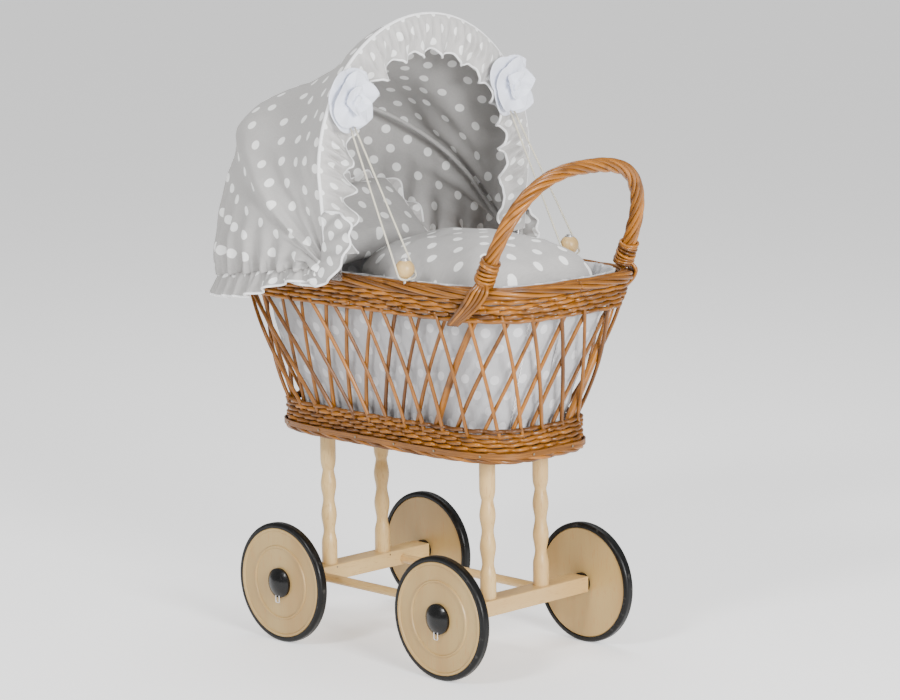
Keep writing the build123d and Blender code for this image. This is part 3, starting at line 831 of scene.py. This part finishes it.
class PRAM_OT_undercarriage(bpy.types.Operator):
    """Finish the beech, plywood, rubber, plastic and steel of the undercarriage"""

    bl_idname = "pram.undercarriage"
    bl_label = "Undercarriage"

    def execute(self, context):
        wood = context.scene.pram_wood
        beech, fleck = tuple(wood.beech), tuple(wood.fleck)
        ends = [f"{end}_{side}" for end in ("front", "rear") for side in ("left", "right")]
        dress(beech_finish("Turned beech", beech, fleck, "Z"), *(f"leg_{e}" for e in ends))
        dress(beech_finish("Beech beam", beech, fleck, "Y"), "axle_beam_front", "axle_beam_rear")
        dress(beech_finish("Beech rail", beech, fleck, "X"), "side_rail_left", "side_rail_right")
        dress(beech_finish("Wheel plywood", tuple(wood.disc), fleck, "Z", 0.15),
              *(f"wheel_disc_{e}" for e in ends))
        dress(beech_finish("Base plywood", tuple(wood.disc), fleck, "X", 0.0), "base_board")
        dress(rubber_finish(), *(f"tyre_{e}" for e in ends))
        dress(plastic_finish(), *(f"hub_{e}" for e in ends))
        dress(steel_finish(), "axle_front", "axle_rear", "leg_screws", "hood_brackets", "hood_pins",
              "hood_hoop_front", "hood_hoop_middle", "knob_screws",
              *(f"hub_clip_{e}" for e in ends))
        dress(steel_finish("Dark nails", (0.20, 0.18, 0.16)), "leg_nails")
        dress(beech_finish("Ball beech", tuple(0.92 * c for c in beech), fleck, "Z", 0.2), "knobs")
        return {"FINISHED"}


class PRAM_OT_foot(bpy.types.Operator):
    """Twist the foot border and nail the split cane round it"""

    bl_idname = "pram.foot"
    bl_label = "Foot border"

    def execute(self, context):
        round_foot = np.linspace(0, 1, 700, endpoint=False)
        rope = Rods(11)
        path = wall(round_foot, foot_level + 4.4, 3.6)
        rope.add_rope(path, 4, 2.5, 2.35, 92.0, closed=True)
        inner = wall(round_foot, foot_level + 8.4, 4.6)
        rope.add_rope(inner, 3, 1.9, 2.2, 120.0, closed=True)
        rope.piece("foot_rope", varnished_willow(), "willow", "root", "foot_border")
        dress(split_cane_finish(context.scene.pram_wicker), "base_strip")
        dress(steel_finish("Dull nail heads", (0.30, 0.25, 0.18)), "strip_nails")
        return {"FINISHED"}


def weave(rods, low, high, rows, radius, wave, inset, seed):
    """Rows of weavers that pass in front of two canes and behind one."""
    samples = 8 * canes_around * 2
    share = np.arange(samples) / samples
    for row in range(rows):
        beat = share * canes_around * 2 / 1.5 + row / 3.0
        beat = beat + 0.12 * drift(share * 14, seed + row)
        swing = np.tanh(1.7 * np.cos(2 * math.pi * beat) + 0.55)
        level = low + (high - low) * (row + 0.5) / rows
        level = level + 0.55 * np.sin(2 * math.pi * beat + 0.9)
        level = level + 0.5 * drift(share * 9, seed + 40 + row)
        path = wall(share, level, inset - wave * swing)
        closing = np.vstack([path[-1:], path, path[:2]])
        stretch = max(2, samples // 5)
        for start in range(0, samples, stretch):
            end = min(start + stretch + 6, samples + 3)
            part = closing[start:end]
            grown = radius * (1 + 0.10 * drift(np.arange(len(part)) / 30, seed + row + start))
            rods.add(part, grown)


class PRAM_OT_bands(bpy.types.Operator):
    """Weave the lower and upper bands and the rolled rim"""

    bl_idname = "pram.bands"
    bl_label = "Woven bands"

    def execute(self, context):
        wicker = context.scene.pram_wicker
        radius = wicker.weaver / MM
        lower = Rods(21)
        weave(lower, strip_level - 0.6, band_level + 0.6, wicker.lower_rows, radius, 1.8, 4.0, 3)
        lower.piece("lower_weave", varnished_willow(), "willow", "root", "lower_band")
        upper = Rods(22)
        weave(upper, upper_level - 0.4, border_level, wicker.upper_rows, radius, 2.0, 4.1, 9)
        self.cut_ends(upper)
        upper.piece("upper_weave", varnished_willow(), "willow", "root", "upper_band")
        rim = Rods(23)
        round_rim = np.linspace(0, 1, 900, endpoint=False)
        rim.add_rope(wall(round_rim, border_level + 5.6, 4.4), 5, 3.7, 2.15, 200.0, closed=True)
        rim.add_rope(wall(round_rim, border_level + 8.3, 8.8), 4, 2.7, 2.0, 230.0, closed=True)
        rim.piece("rim_rope", varnished_willow(), "willow", "root", "rim_border")
        return {"FINISHED"}

    def cut_ends(self, rods):
        """Short slanting ends of weavers, cut off outside the band."""
        pick = np.random.default_rng(4)
        for _ in range(26):
            share, level = pick.uniform(0, 1), pick.uniform(upper_level + 4, border_level - 3)
            ahead = np.linspace(0, 0.011, 5)
            rods.add(wall(share + ahead, level + ahead * 180, 2.6 - ahead * 300), 1.9)


class PRAM_OT_lattice(bpy.types.Operator):
    """Set the leaning canes between the bands, and the posts of the handle"""

    bl_idname = "pram.lattice"
    bl_label = "Lattice"

    def cane(self, index, lean, inset, radius, bow, rods):
        tuck = 9                # how far a cane runs into either band
        reach = np.linspace(0, 1, 15)
        share = (index + lean * cane_lean * (reach - 0.5)) / canes_around
        level = band_level - tuck + (upper_level - band_level + 2 * tuck) * reach
        swell = bow * np.sin(math.pi * reach)
        path = wall(share + swell * 0.35 / wall_round, level, inset + 0.4 * swell)
        taper = radius * (1.04 - 0.10 * reach) * (1 + 0.05 * drift(reach * 5, index + lean * 50))
        rods.add(path, taper, sides=9)

    def execute(self, context):
        radius = context.scene.pram_wicker.cane / MM
        pick = np.random.default_rng(31)
        for name, node, lean, inset in (("outer_canes", "lattice_outer", -1, 2.6),
                                        ("inner_canes", "lattice_inner", 1, 7.4)):
            rods = Rods(32 + lean)
            for k in range(canes_around):
                if lean > 0 and k in post_places:
                    continue
                shift = pick.uniform(-0.09, 0.09)
                self.cane(k + shift, lean * pick.uniform(0.93, 1.07), inset,
                          radius * pick.uniform(0.92, 1.10), pick.uniform(-1.6, 1.6), rods)
            rods.piece(name, varnished_willow(), "willow", "root", node)
        posts = Rods(34)
        for k in post_places:
            self.cane(k, 1, 8.3, 3.9, 0.6, posts)
        posts.piece("handle_posts", varnished_willow(), "willow", "root", "handle_stakes")
        return {"FINISHED"}


handle_foot = np.array([178.0, 104.0])
handle_up = unit(np.array([50.0, 0.0, 114.0]))
handle_height, handle_roundness = 126.5, 2.76


def handle_line(count, start=1.0):
    """Centre line of the push handle, a leaning arch, from its foot at -y to the other."""
    bearing = np.linspace(0, math.pi, 1201)
    c, s = np.cos(bearing), np.sin(bearing)
    half = handle_foot[1]
    reach = (abs(c / half) ** handle_roundness
             + abs(s / handle_height) ** handle_roundness) ** (-1 / handle_roundness)
    across, rise = -reach * c, np.maximum(reach * s, start)
    foot = np.array([handle_foot[0], 0.0, rim_level])
    line = foot + rise[:, None] * handle_up + across[:, None] * np.array([0.0, 1.0, 0.0])
    return even(line, count)


class PRAM_OT_handle(bpy.types.Operator):
    """Twist the push handle, bind its feet and lay the canes that fan down the band"""

    bl_idname = "pram.handle"
    bl_label = "Push handle"

    def execute(self, context):
        rope = Rods(41)
        line = handle_line(220)
        rope.add(line, 3.6, sides=8)
        rope.add_rope(line, 7, 5.25, 2.4, 112.0, sides=9, wander=0.07)
        rope.piece("handle_rope", varnished_willow(), "willow", "root", "handle_arch")
        binding = Rods(42)
        along = lengths(line)
        a, b = carried_frames(line)
        turns, first, pitch = 8, 4.5, 3.3
        for foot in (0, 1):
            for turn in range(turns):
                at = first + pitch * turn
                at = at if foot == 0 else along[-1] - at
                i = int(np.searchsorted(along, at))
                i = min(max(i, 1), len(line) - 2)
                swing = np.linspace(0, 2 * math.pi, 28, endpoint=False)
                tangent = unit(line[i + 1] - line[i - 1])
                radius = 9.2 - 0.10 * turn + 0.5 * (turn % 2)
                outward = np.cos(swing)[:, None] * a[i] + np.sin(swing)[:, None] * b[i]
                ring = line[i] + radius * outward
                ring += tangent * (1.2 * np.sin(swing + turn))[:, None]
                binding.add(ring, 1.65, closed=True)
        binding.piece("handle_binding", varnished_willow(), "willow", "root", "handle_wraps")
        self.fans()
        return {"FINISHED"}

    def fans(self):
        """Canes from under each binding, down outside the band towards the post."""
        canes = Rods(43)
        for side in (-1, 1):
            bearing = math.atan2(side * (handle_foot[1] + 6.0), handle_foot[0])
            foot = float(np.interp(bearing % (2 * math.pi), bearing_table, share_table))
            for i in range(5):
                spread = (i - 2.0) * 4.4 / wall_round
                reach = np.linspace(0, 1, 22)
                level = rim_level + 6.0 - (rim_level + 3.0 - upper_level + 6.0) * reach
                bulge = -1.5 - 3.4 * np.sin(math.pi * np.clip(reach * 1.15, 0, 1)) ** 0.7
                sweep = side * 25.0 / wall_round * reach ** 1.5
                pinch = 1.0 - 0.42 * reach ** 2
                path = wall(foot + sweep + spread * pinch, level, bulge)
                path[:, :2] += (1 - ease(reach * 4))[:, None] * (
                    np.array([handle_foot[0], side * handle_foot[1]]) * 1.02 - path[:, :2]) * 0.55
                canes.add(path, 2.0 - 0.35 * reach, sides=8)
        canes.piece("handle_fan_canes", varnished_willow(), "willow", "root", "handle_fans")


class PRAM_OT_canopy(bpy.types.Operator):
    """Sew the hood's cloth from the front hoop over the middle one to the gathered hem"""

    bl_idname = "pram.canopy"
    bl_label = "Hood cloth"

    def execute(self, context):
        angles = np.linspace(0, hem_angle, 96)
        count = 360
        base = hood_surface(angles, count)
        way = np.linspace(0, 1, count)[None, :]
        angle = angles[:, None]
        out = surface_normals(base)
        if out[40, count // 2] @ (base[40, count // 2] - pivot) < 0:
            out = -out
        near = np.minimum(way, 1 - way)
        hem = ease((angle - 56.0) / 42.0)
        wander = drift(way[0] * 5.0, 2)[None, :]
        depth = 0.75 + 0.5 * drift(way[0] * 11, 5)[None, :]
        deep = np.sin(2 * math.pi * (21 * way + 0.55 * wander)) * depth
        fine = np.sin(2 * math.pi * (64 * way + 1.1 * wander))
        soft = drift_over(angle / 17.0 + 0 * way, way * 9.0 + 0 * angle, 3)
        slant = drift_over(angle / 9.0 + way * 14.0, way * 8.0 - angle / 40.0, 21)
        gathers = 5.6 * hem * deep + 3.0 * ease((angle - 84) / 14.0) * fine
        pleats = 3.4 * np.exp(-near / 0.07) * np.sin(angle * 0.34 + 1.0) * ease(angle / 14.0)
        side = np.exp(-((near - 0.14) / 0.10) ** 2)
        crease = np.exp(-((angle - middle_angle - 5.0 * wander) / 2.6) ** 2)
        ridge = 6.5 * crease * side + 1.8 * np.exp(-((angle - 54.0) / 2.0) ** 2)
        ridge = ridge - 6.5 * np.exp(-((angle - 61.0 + 4.0 * wander) / 3.5) ** 2) * side
        ridge = ridge - 4.0 * np.exp(-((angle - 42.0 + 3.0 * wander) / 4.0) ** 2) * side
        slack = ease(angle / 12.0) * ease((hem_angle - angle) / 6.0)
        push = gathers + pleats + ridge + (2.8 * soft + 2.2 * slant) * slack
        points = base + out * (push * ease(angle / 6.0))[..., None]
        centres = self.dots()
        mesh = cloth_mesh("canopy_cloth", points, base, centres)
        made = add_piece("canopy_cloth", mesh, printed_cotton())
        bend_with_hood(made, fold_weight(points))
        thicken(made, cotton_thickness)
        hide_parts("hood_canopy")
        shade = tuple(0.9 * c for c in context.scene.pram_hood.ground)
        cotton = binding_finish("Casing cotton", shade)
        for name, radius, foot, lean, body in (("front", 150.0, 138.8, 0.0, "hood_front"),
                                               ("middle", 144.0, 133.5, middle_angle, "hood_middle")):
            casing = Rods(51)
            line = swung(hoop_line(radius, foot, 150)[6:-6], lean)
            casing.add(line, 2.35, sides=9)
            casing.piece(f"hoop_casing_{name}", cotton, "grey_cotton", body)
        return {"FINISHED"}

    def dots(self):
        """Dots in staggered rows from the front edge back, left out where rows close in."""
        spacing, closest, lately = 27.0, 21.5, 160
        rows = np.arange(3.0, hem_angle, 5.4)
        kept = []
        for number, row in enumerate(rows):
            line = hood_surface([row], 361)[0]
            along = lengths(line)
            start = spacing / 2 if number % 2 else 0.0
            for place in np.arange(start, along[-1], spacing):
                spot = np.array([np.interp(place, along, line[:, i]) for i in range(3)])
                if all(np.linalg.norm(spot - other) > closest for other in kept[-lately:]):
                    kept.append(spot)
        return np.array(kept)


class PRAM_OT_skirt(bpy.types.Operator):
    """Gather the short skirt below the hem and bind its edge"""

    bl_idname = "pram.skirt"
    bl_label = "Hood skirt"

    def execute(self, context):
        count = 520
        hem = hood_surface([hem_angle], count)[0]
        way = np.linspace(0, 1, count)
        middle = np.array([pivot[0] - 60.0, 0.0, 0.0])
        out = unit((hem - middle) * np.array([1.0, 1.0, 0.0]))
        near = np.minimum(way, 1 - way)
        drop = 13.0 + 11.0 * ease((near - 0.06) / 0.14)
        tucked = 0.2 + 0.8 * ease(near / 0.055)
        drop = drop * (1 + 0.10 * drift(way * 16, 8))
        waves = np.sin(2 * math.pi * (27 * way + 0.7 * drift(way * 6, 2)))
        gathers = np.sin(2 * math.pi * (64 * way + 1.1 * drift(way * 5.0, 2)))
        rows = []
        reach = np.linspace(0, 1, 14)
        for t in reach:
            flare = 8.5 * t ** 0.8 + waves * 6.0 * t ** 0.8 + gathers * 2.2 * (1 - t)
            row = hem + out * (flare * tucked + 0.6)[:, None]
            row[:, 2] += 1.0 - drop * t + 1.2 * t * waves
            rows.append(row)
        points = np.array(rows)
        along = lengths(hem) * 1.45
        flat = np.stack(np.broadcast_arrays(along[None, :], reach[:, None] * 24.0), -1)
        centres = dot_rows((0.0, 0.0), (along[-1], 30.0), 16.0)
        mesh = cloth_mesh("skirt_ruffle", points, flat, centres)
        made = add_piece("skirt_ruffle", mesh, printed_cotton())
        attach(made, "root")
        thicken(made, cotton_thickness)
        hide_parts("hood_skirt")
        piping("skirt_binding", points[-1], edge_radius, "root")
        self.corners()
        return {"FINISHED"}

    def corners(self):
        """Rounded lower corners where the front edge turns into the hem."""
        for side, s in (("left", -1), ("right", 1)):
            if side == "left":
                cut, corner = (0.088, 0.052), [(-6, 148, 478), (12, 150, 479), (32, 152, 477),
                    (43, 154, 467), (41, 155, 450), (32, 155, 434), (21, 155, 420), (8, 154, 408),
                    (-12, 152, 400)]
            else:
                cut, corner = (0.074, 0.030), [(-6, 148, 456), (4, 149, 453), (13, 150, 445),
                    (15, 151, 432), (13, 151, 419), (5, 151, 407), (-12, 151, 401)]
            edge = even(corner + [(-34, 150, 400), (-62, 149, 401)], 90)
            for _ in range(12):
                edge[1:-1] = (edge[:-2] + 2 * edge[1:-1] + edge[2:]) / 4
            root = even([(-7, 149, corner[0][2] - 2), (-8, 148, 445), (-10, 148, 427),
                         (-34, 148, 412), (-66, 148.5, 403)], 90)
            t = np.linspace(0, 1, 16)[:, None, None]
            points = root[None] * (1 - t) + edge[None] * t
            way = np.linspace(0, 1, 90)[None, :]
            ripple = np.sin(2 * math.pi * (7 * way + 0.3 * drift(way * 4, 3))) * (2.4 * t[..., 0])
            points[..., 1] += ripple + 2.5 * np.sin(math.pi * t[..., 0])
            points[..., 1] *= s
            flat = np.stack([points[..., 0], points[..., 2]], -1)
            centres = dot_rows((-80, 390), (40, 490), 13.0)
            mesh = cloth_mesh(f"hood_corner_{side}", points, flat, centres)
            made = add_piece(f"hood_corner_{side}", mesh, printed_cotton())
            bend_with_hood(made, fold_weight(points))
            thicken(made, cotton_thickness)
            piping(f"corner_binding_{side}", points[-1], edge_radius, None,
                   weights=fold_weight(points[-1]))


class PRAM_OT_face_ruffle(bpy.types.Operator):
    """Gather the ruffle round the hood's mouth, and bind both its edges"""

    bl_idname = "pram.face_ruffle"
    bl_label = "Face ruffle"

    def execute(self, context):
        depth = context.scene.pram_hood.ruffle / MM
        count, lowest = 760, 12.0
        outer = hoop_line(154.6, 145.0, count)
        inner = hoop_line(114.5, 109.0, count)
        way = np.linspace(0, 1, count)
        keep = outer[:, 2] > lowest
        outer, inner, way = outer[keep], inner[keep], way[keep]
        inner[:, 2] = np.maximum(inner[:, 2], lowest)
        beat = 17.5 * way + 0.42 * drift(way * 8, 4)
        swing = 1.0 + 0.45 * drift(way * 13, 7)
        waves = np.sin(2 * math.pi * beat)
        lap = np.sin(2 * math.pi * beat + 1.2)
        fine = np.sin(2 * math.pi * (62 * way + 0.9 * drift(way * 9, 6)))
        fine = fine * (1 + 0.4 * drift(way * 30, 2))
        reach = np.linspace(0, 1, 26)
        rows = []
        inward = unit(inner - outer)
        for t in reach:
            row = outer * (1 - t) + inner * t
            row = row + inward * (t ** 3 * (4.6 * swing * lap + 0.4 * fine))[:, None]
            height = 3.2 * math.sin(math.pi * t) ** 0.7 + depth * t ** 2.0 * swing * waves
            height = height + 2.3 * math.sin(math.pi * min(1.0, t * 1.1)) ** 2 * fine + 0.3
            rows.append(np.stack([pivot[0] + 3.0 + height, row[:, 1], pivot[2] + row[:, 2]], 1))
        points = np.array(rows)
        along = lengths(outer) * 1.5
        flat = np.stack(np.broadcast_arrays(along[None, :], reach[:, None] * 42.0), -1)
        centres = dot_rows((0.0, -2.0), (along[-1], 50.0), 17.0)
        mesh = cloth_mesh("face_ruffle", points, flat, centres)
        made = add_piece("face_ruffle", mesh, ruffle_cotton())
        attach(made, "hood_front")
        thicken(made, 0.8)
        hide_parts("hood_frill")
        piping("ruffle_inner_binding", points[-1], 1.35, "hood_front")
        front = points[0] + np.array([-1.6, 0.0, 0.0])
        piping("ruffle_outer_binding", front, 2.1, "hood_front")
        return {"FINISHED"}


rosette_layers = (         # half span, lift off the cloth, turn of the petals
    (36.0, 0.0, 0.4), (31.0, 4.5, 0.85), (16.0, 8.0, 0.2),
)


class PRAM_OT_rosettes(bpy.types.Operator):
    """Tie a ruffled voile rosette at each side of the hood's mouth"""

    bl_idname = "pram.rosettes"
    bl_label = "Rosettes"

    def execute(self, context):
        tint = tuple(context.scene.pram_hood.ribbon)
        voile = binding_finish("White voile", tint, 1400.0, 0.0002)
        for side, s in (("left", -1), ("right", 1)):
            low, high = node_box(f"bow_{side}")
            centre = (low + high) / 2
            for layer, (span, lift, phase) in enumerate(rosette_layers):
                points = self.ruffle(centre, low[0], span, lift, phase + s, layer)
                mesh = cloth_mesh(f"rosette_{side}_{layer}", points, points[..., 1:],
                                  np.array([(0.0, 0.0, 0.0)]), closed=True)
                made = add_piece(f"rosette_{side}_{layer}", mesh, voile)
                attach(made, "hood_front")
                thicken(made, 0.6)
                if layer == 0:
                    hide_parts(f"bow_{side}")
            knot = Rods(61)
            turn = np.linspace(0, 2 * math.pi, 18, endpoint=False)
            for k in range(3):
                ring = np.stack([0 * turn + 3.5 + 2 * k, 3.4 * np.cos(turn), 3.4 * np.sin(turn + k)], 1)
                knot.add(centre + ring, 2.2, closed=True)
            knot.piece(f"rosette_knot_{side}", voile, "white_ribbon", "hood_front")
        return {"FINISHED"}

    def ruffle(self, centre, back, span, lift, phase, layer):
        """One layer: pleats that run out from the knot and stand up at the rim."""
        turn = np.linspace(0, 2 * math.pi, 132, endpoint=False)[None, :]
        reach = np.linspace(0.09, 1, 18)[:, None]
        petals = 4 + layer % 2
        within = np.mod(petals * turn / (2 * math.pi) + phase, 1.0) - 0.5
        outline = 0.80 + 0.34 * abs(within) ** 0.8 + 0.10 * np.sin(2 * turn + 3 * phase)
        radius = span * reach * outline
        cupped = 7.0 * reach ** 1.2 * (2 * abs(within) ** 1.3 - 0.35)
        creases = 1.1 * np.sin(13 * turn + 2 * phase) * reach ** 0.5 * (1.0 - reach) ** 1.5
        folds = 2.6 * np.sin(3 * turn - 2 * phase) * reach ** 1.5
        height = lift + 3.5 + cupped + creases + folds + (1.5 + 1.5 * layer) * reach ** 2
        x = np.maximum(back + height, back - 0.5)
        return np.stack([x + 0 * turn, centre[1] + radius * np.cos(turn),
                         centre[2] + radius * np.sin(turn) * 0.95], -1)


def swollen(name, node, inset, cap, voxel, creases):
    """A CAD pad's solid as stuffed cloth: remeshed, blown up, held near where it was."""
    scene = bpy.context.scene
    source = frame["nodes"][node].data.copy()
    piece = bpy.data.objects.new(name, source)
    scene.collection.objects.link(piece)
    remesh = piece.modifiers.new("Even mesh", "REMESH")
    remesh.mode, remesh.voxel_size = "VOXEL", voxel * MM
    evaluated = piece.evaluated_get(bpy.context.evaluated_depsgraph_get())
    mesh = bpy.data.meshes.new_from_object(evaluated)
    piece.modifiers.clear()
    piece.data = mesh
    normals = np.array([v.normal for v in mesh.vertices])
    start = np.array([v.co for v in mesh.vertices])
    shrunk = start - normals * inset * MM
    mesh.vertices.foreach_set("co", shrunk.ravel())
    last_step = 20
    stuffing = piece.modifiers.new("Stuffing", "CLOTH")
    stuffing.settings.use_pressure = True
    stuffing.settings.uniform_pressure_force = 4.0
    stuffing.settings.quality = 4
    stuffing.settings.effector_weights.gravity = 0.0
    stuffing.point_cache.frame_start, stuffing.point_cache.frame_end = 1, last_step
    for step in range(1, last_step + 1):
        scene.frame_set(step)
    blown = piece.evaluated_get(bpy.context.evaluated_depsgraph_get()).to_mesh()
    moved = np.array([v.co for v in blown.vertices]) - shrunk
    piece.modifiers.clear()
    far = np.linalg.norm(moved, axis=1, keepdims=True)
    shrunk = shrunk + moved * np.minimum(1.0, cap * MM / np.maximum(far, 1e-9))
    scene.frame_set(1)
    shrunk = shrunk + normals * creases(shrunk / MM)[:, None] * MM
    mesh.vertices.foreach_set("co", shrunk.ravel())
    mesh.update()
    return piece, shrunk / MM


class PRAM_OT_bedding(bpy.types.Operator):
    """Stuff the mattress, the pillow and the duvet"""

    bl_idname = "pram.bedding"
    bl_label = "Bedding"

    def execute(self, context):
        bedding = context.scene.pram_bedding
        cap = bedding.swell / MM
        self.duvet(cap)
        self.pillow(cap)
        tint = tuple(bedding.ticking)
        ticking = cotton_finish("Mattress ticking", tint, tint, 0.002, crease=0.0008)
        piece, points = swollen("mattress_pad", "mattress", 2.5, 4.0, 7.0, lambda p: 0 * p[:, 0])
        self.wear(piece, points, ticking, "mattress_ticking", "mattress", 1.0)
        return {"FINISHED"}

    def wear(self, piece, flat, material, slot, node, fill, pitch=19.0):
        flat = np.column_stack([flat[:, :2], np.zeros(len(flat))])
        low, high = flat.min(0) - pitch, flat.max(0) + pitch
        print_dots(piece.data, flat, dot_rows(low, high, pitch))
        piece.data.materials.clear()
        piece.data.materials.append(material)
        piece.data.polygons.foreach_set("use_smooth", [True] * len(piece.data.polygons))
        smooth = piece.modifiers.new("Smooth cloth", "SUBSURF")
        smooth.levels = smooth.render_levels = 1
        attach(piece, "root")
        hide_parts(node)

    def duvet(self, cap):
        def creases(p):
            broad = drift_over(p[:, 0] / 38, p[:, 1] / 30, 4)
            return 1.5 * broad + 0.7 * drift_over(p[:, 0] / 14, p[:, 1] / 17, 5)

        piece, points = swollen("duvet_cover", "duvet", 3.5, cap, 6.0, creases)
        self.wear(piece, points, printed_cotton(), "grey_cotton", "duvet", 0.8)

    def pillow(self, cap):
        def creases(p):
            return 1.3 * drift_over(p[:, 0] / 25, p[:, 1] / 25, 6)

        piece, points = swollen("pillow_cover", "pillow", 3.5, cap, 6.0, creases)
        low, high = node_box("pillow")
        centre = (low + high) / 2
        tilt = math.radians(42.0)
        up = np.array([-math.cos(tilt), 0.0, math.sin(tilt)])
        face = np.array([math.sin(tilt), 0.0, math.cos(tilt)])
        flat = np.stack([(points - centre) @ up, points[:, 1]], 1)
        self.wear(piece, flat, printed_cotton(), "grey_cotton", "pillow", 0.75)
        self.flounce(centre, up, face)

    def flounce(self, centre, up, face):
        """Gathered edge round the pillow's upper three sides, bound in white."""
        turn = np.linspace(-0.10, math.pi + 0.10, 1201)
        c, s = np.cos(turn), np.sin(turn)
        across = np.array([0.0, 1.0, 0.0])

        def line(half_y, half_up):
            reach = (abs(c / half_y) ** 5 + abs(s / half_up) ** 5) ** -0.2
            return even(centre + (reach * c)[:, None] * across + (reach * s)[:, None] * up, 420)

        wall_behind = -206.0    # the flounce stays in front of the hood's cloth
        inner, outer = line(87.0, 49.0), line(103.0, 65.0)
        way = np.linspace(0, 1, 420)
        waves = np.sin(2 * math.pi * (9 * way + 0.6 * drift(way * 6, 9)))
        fine = np.sin(2 * math.pi * (46 * way + 0.8 * drift(way * 8, 3)))
        reach = np.linspace(0, 1, 12)
        rows = [inner * (1 - t) + outer * t + face * (6.5 * t * waves + 0.8 * fine * (1 - t))[:, None]
                for t in reach]
        points = np.array(rows)
        points[..., 0] = np.maximum(points[..., 0], wall_behind)
        along = lengths(inner) * 1.4
        flat = np.stack(np.broadcast_arrays(along[None, :], reach[:, None] * 18.0), -1)
        mesh = cloth_mesh("pillow_flounce", points, flat, dot_rows((0, -4), (along[-1], 30), 17.0))
        made = add_piece("pillow_flounce", mesh, ruffle_cotton())
        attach(made, "root")
        thicken(made, 0.8)
        piping("flounce_binding", points[-1], edge_radius, "root")


class PRAM_OT_lining(bpy.types.Operator):
    """Hang the thin lining inside the basket"""

    bl_idname = "pram.lining"
    bl_label = "Lining"

    def execute(self, context):
        bedding = context.scene.pram_bedding
        low, high = node_box("basket_liner")
        count = 420
        share = np.arange(count)[None, :] / count
        level = np.linspace(low[2] + 1.0, high[2] + 0.5, 64)[:, None]
        puckers = drift_over(share * 34 + 0 * level, level / 34 + 0 * share, 12)
        small = drift_over(share * 110 + 0 * level, level / 16 + 0 * share, 13)
        top = ease((level - high[2] + 30) / 26)
        gathers = np.sin(2 * math.pi * (58 * share + 0.7 * puckers)) * top
        slack = np.sin(math.pi * np.clip((level - low[2]) / (high[2] - low[2]), 0, 1))
        inset = 18.0 - slack * (1.5 + 2.1 * puckers) - 0.7 * small * slack + 1.3 * gathers
        points = wall(share + 0 * level, level + 0 * share, inset)
        flat = np.stack(np.broadcast_arrays(share * wall_round, level + 0 * share), -1)
        centres = dot_rows((0, low[2] - 10), (wall_round, high[2] + 10), 17.0)
        mesh = cloth_mesh("lining_cloth", points, flat, centres, closed=True)
        lining = tuple(bedding.lining)
        pale = tuple(min(1.0, 1.45 * c) for c in lining)
        dot_radius = context.scene.pram_hood.dot_radius
        cloth = cotton_finish("Thin lining", lining, pale, dot_radius, strength=0.7)
        made = add_piece("lining_cloth", mesh, cloth)
        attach(made, "root")
        thicken(made, 0.7)
        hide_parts("basket_liner")
        seam = Rods(71)
        zig = np.arange(60)
        seam_share = 0.952 + 0.0016 * (zig % 2)
        line = wall(seam_share, low[2] + 12 + zig * 2.4, 15.6)
        seam.add(line, 0.45, sides=5)
        seam.piece("lining_seam", white_binding(), "white_ribbon", "root")
        return {"FINISHED"}


class PRAM_PT_pram(bpy.types.Panel):
    """The pram's pieces, in the order they are made"""

    bl_idname = "PRAM_PT_pram"
    bl_label = "Doll's pram"
    bl_space_type = "VIEW_3D"
    bl_region_type = "UI"
    bl_category = "Pram"

    def draw(self, context):
        for name, _ in property_groups:
            group = getattr(context.scene, name)
            box = self.layout.box()
            for field in group.__annotations__:
                box.prop(group, field)
        for operator in operators:
            self.layout.operator(operator.bl_idname)


property_groups = (("pram_wicker", PramWicker), ("pram_hood", PramHood),
                   ("pram_bedding", PramBedding), ("pram_wood", PramWood),
                   ("pram_stage", PramStage))
operators = (PRAM_OT_stage, PRAM_OT_elastics, PRAM_OT_undercarriage, PRAM_OT_foot, PRAM_OT_bands,
             PRAM_OT_lattice, PRAM_OT_handle, PRAM_OT_canopy, PRAM_OT_skirt, PRAM_OT_face_ruffle,
             PRAM_OT_rosettes, PRAM_OT_bedding, PRAM_OT_lining)


def register():
    for name, group in property_groups:
        bpy.utils.register_class(group)
        setattr(bpy.types.Scene, name, bpy.props.PointerProperty(type=group))
    for item in (*operators, PRAM_PT_pram):
        bpy.utils.register_class(item)


def unregister():
    for item in reversed((*operators, PRAM_PT_pram)):
        bpy.utils.unregister_class(item)
    for name, group in reversed(property_groups):
        delattr(bpy.types.Scene, name)
        bpy.utils.unregister_class(group)


def main():
    register()
    for operator in operators:
        group, name = operator.bl_idname.split(".")
        getattr(getattr(bpy.ops, group), name)()


if __name__ == "__main__":
    main()
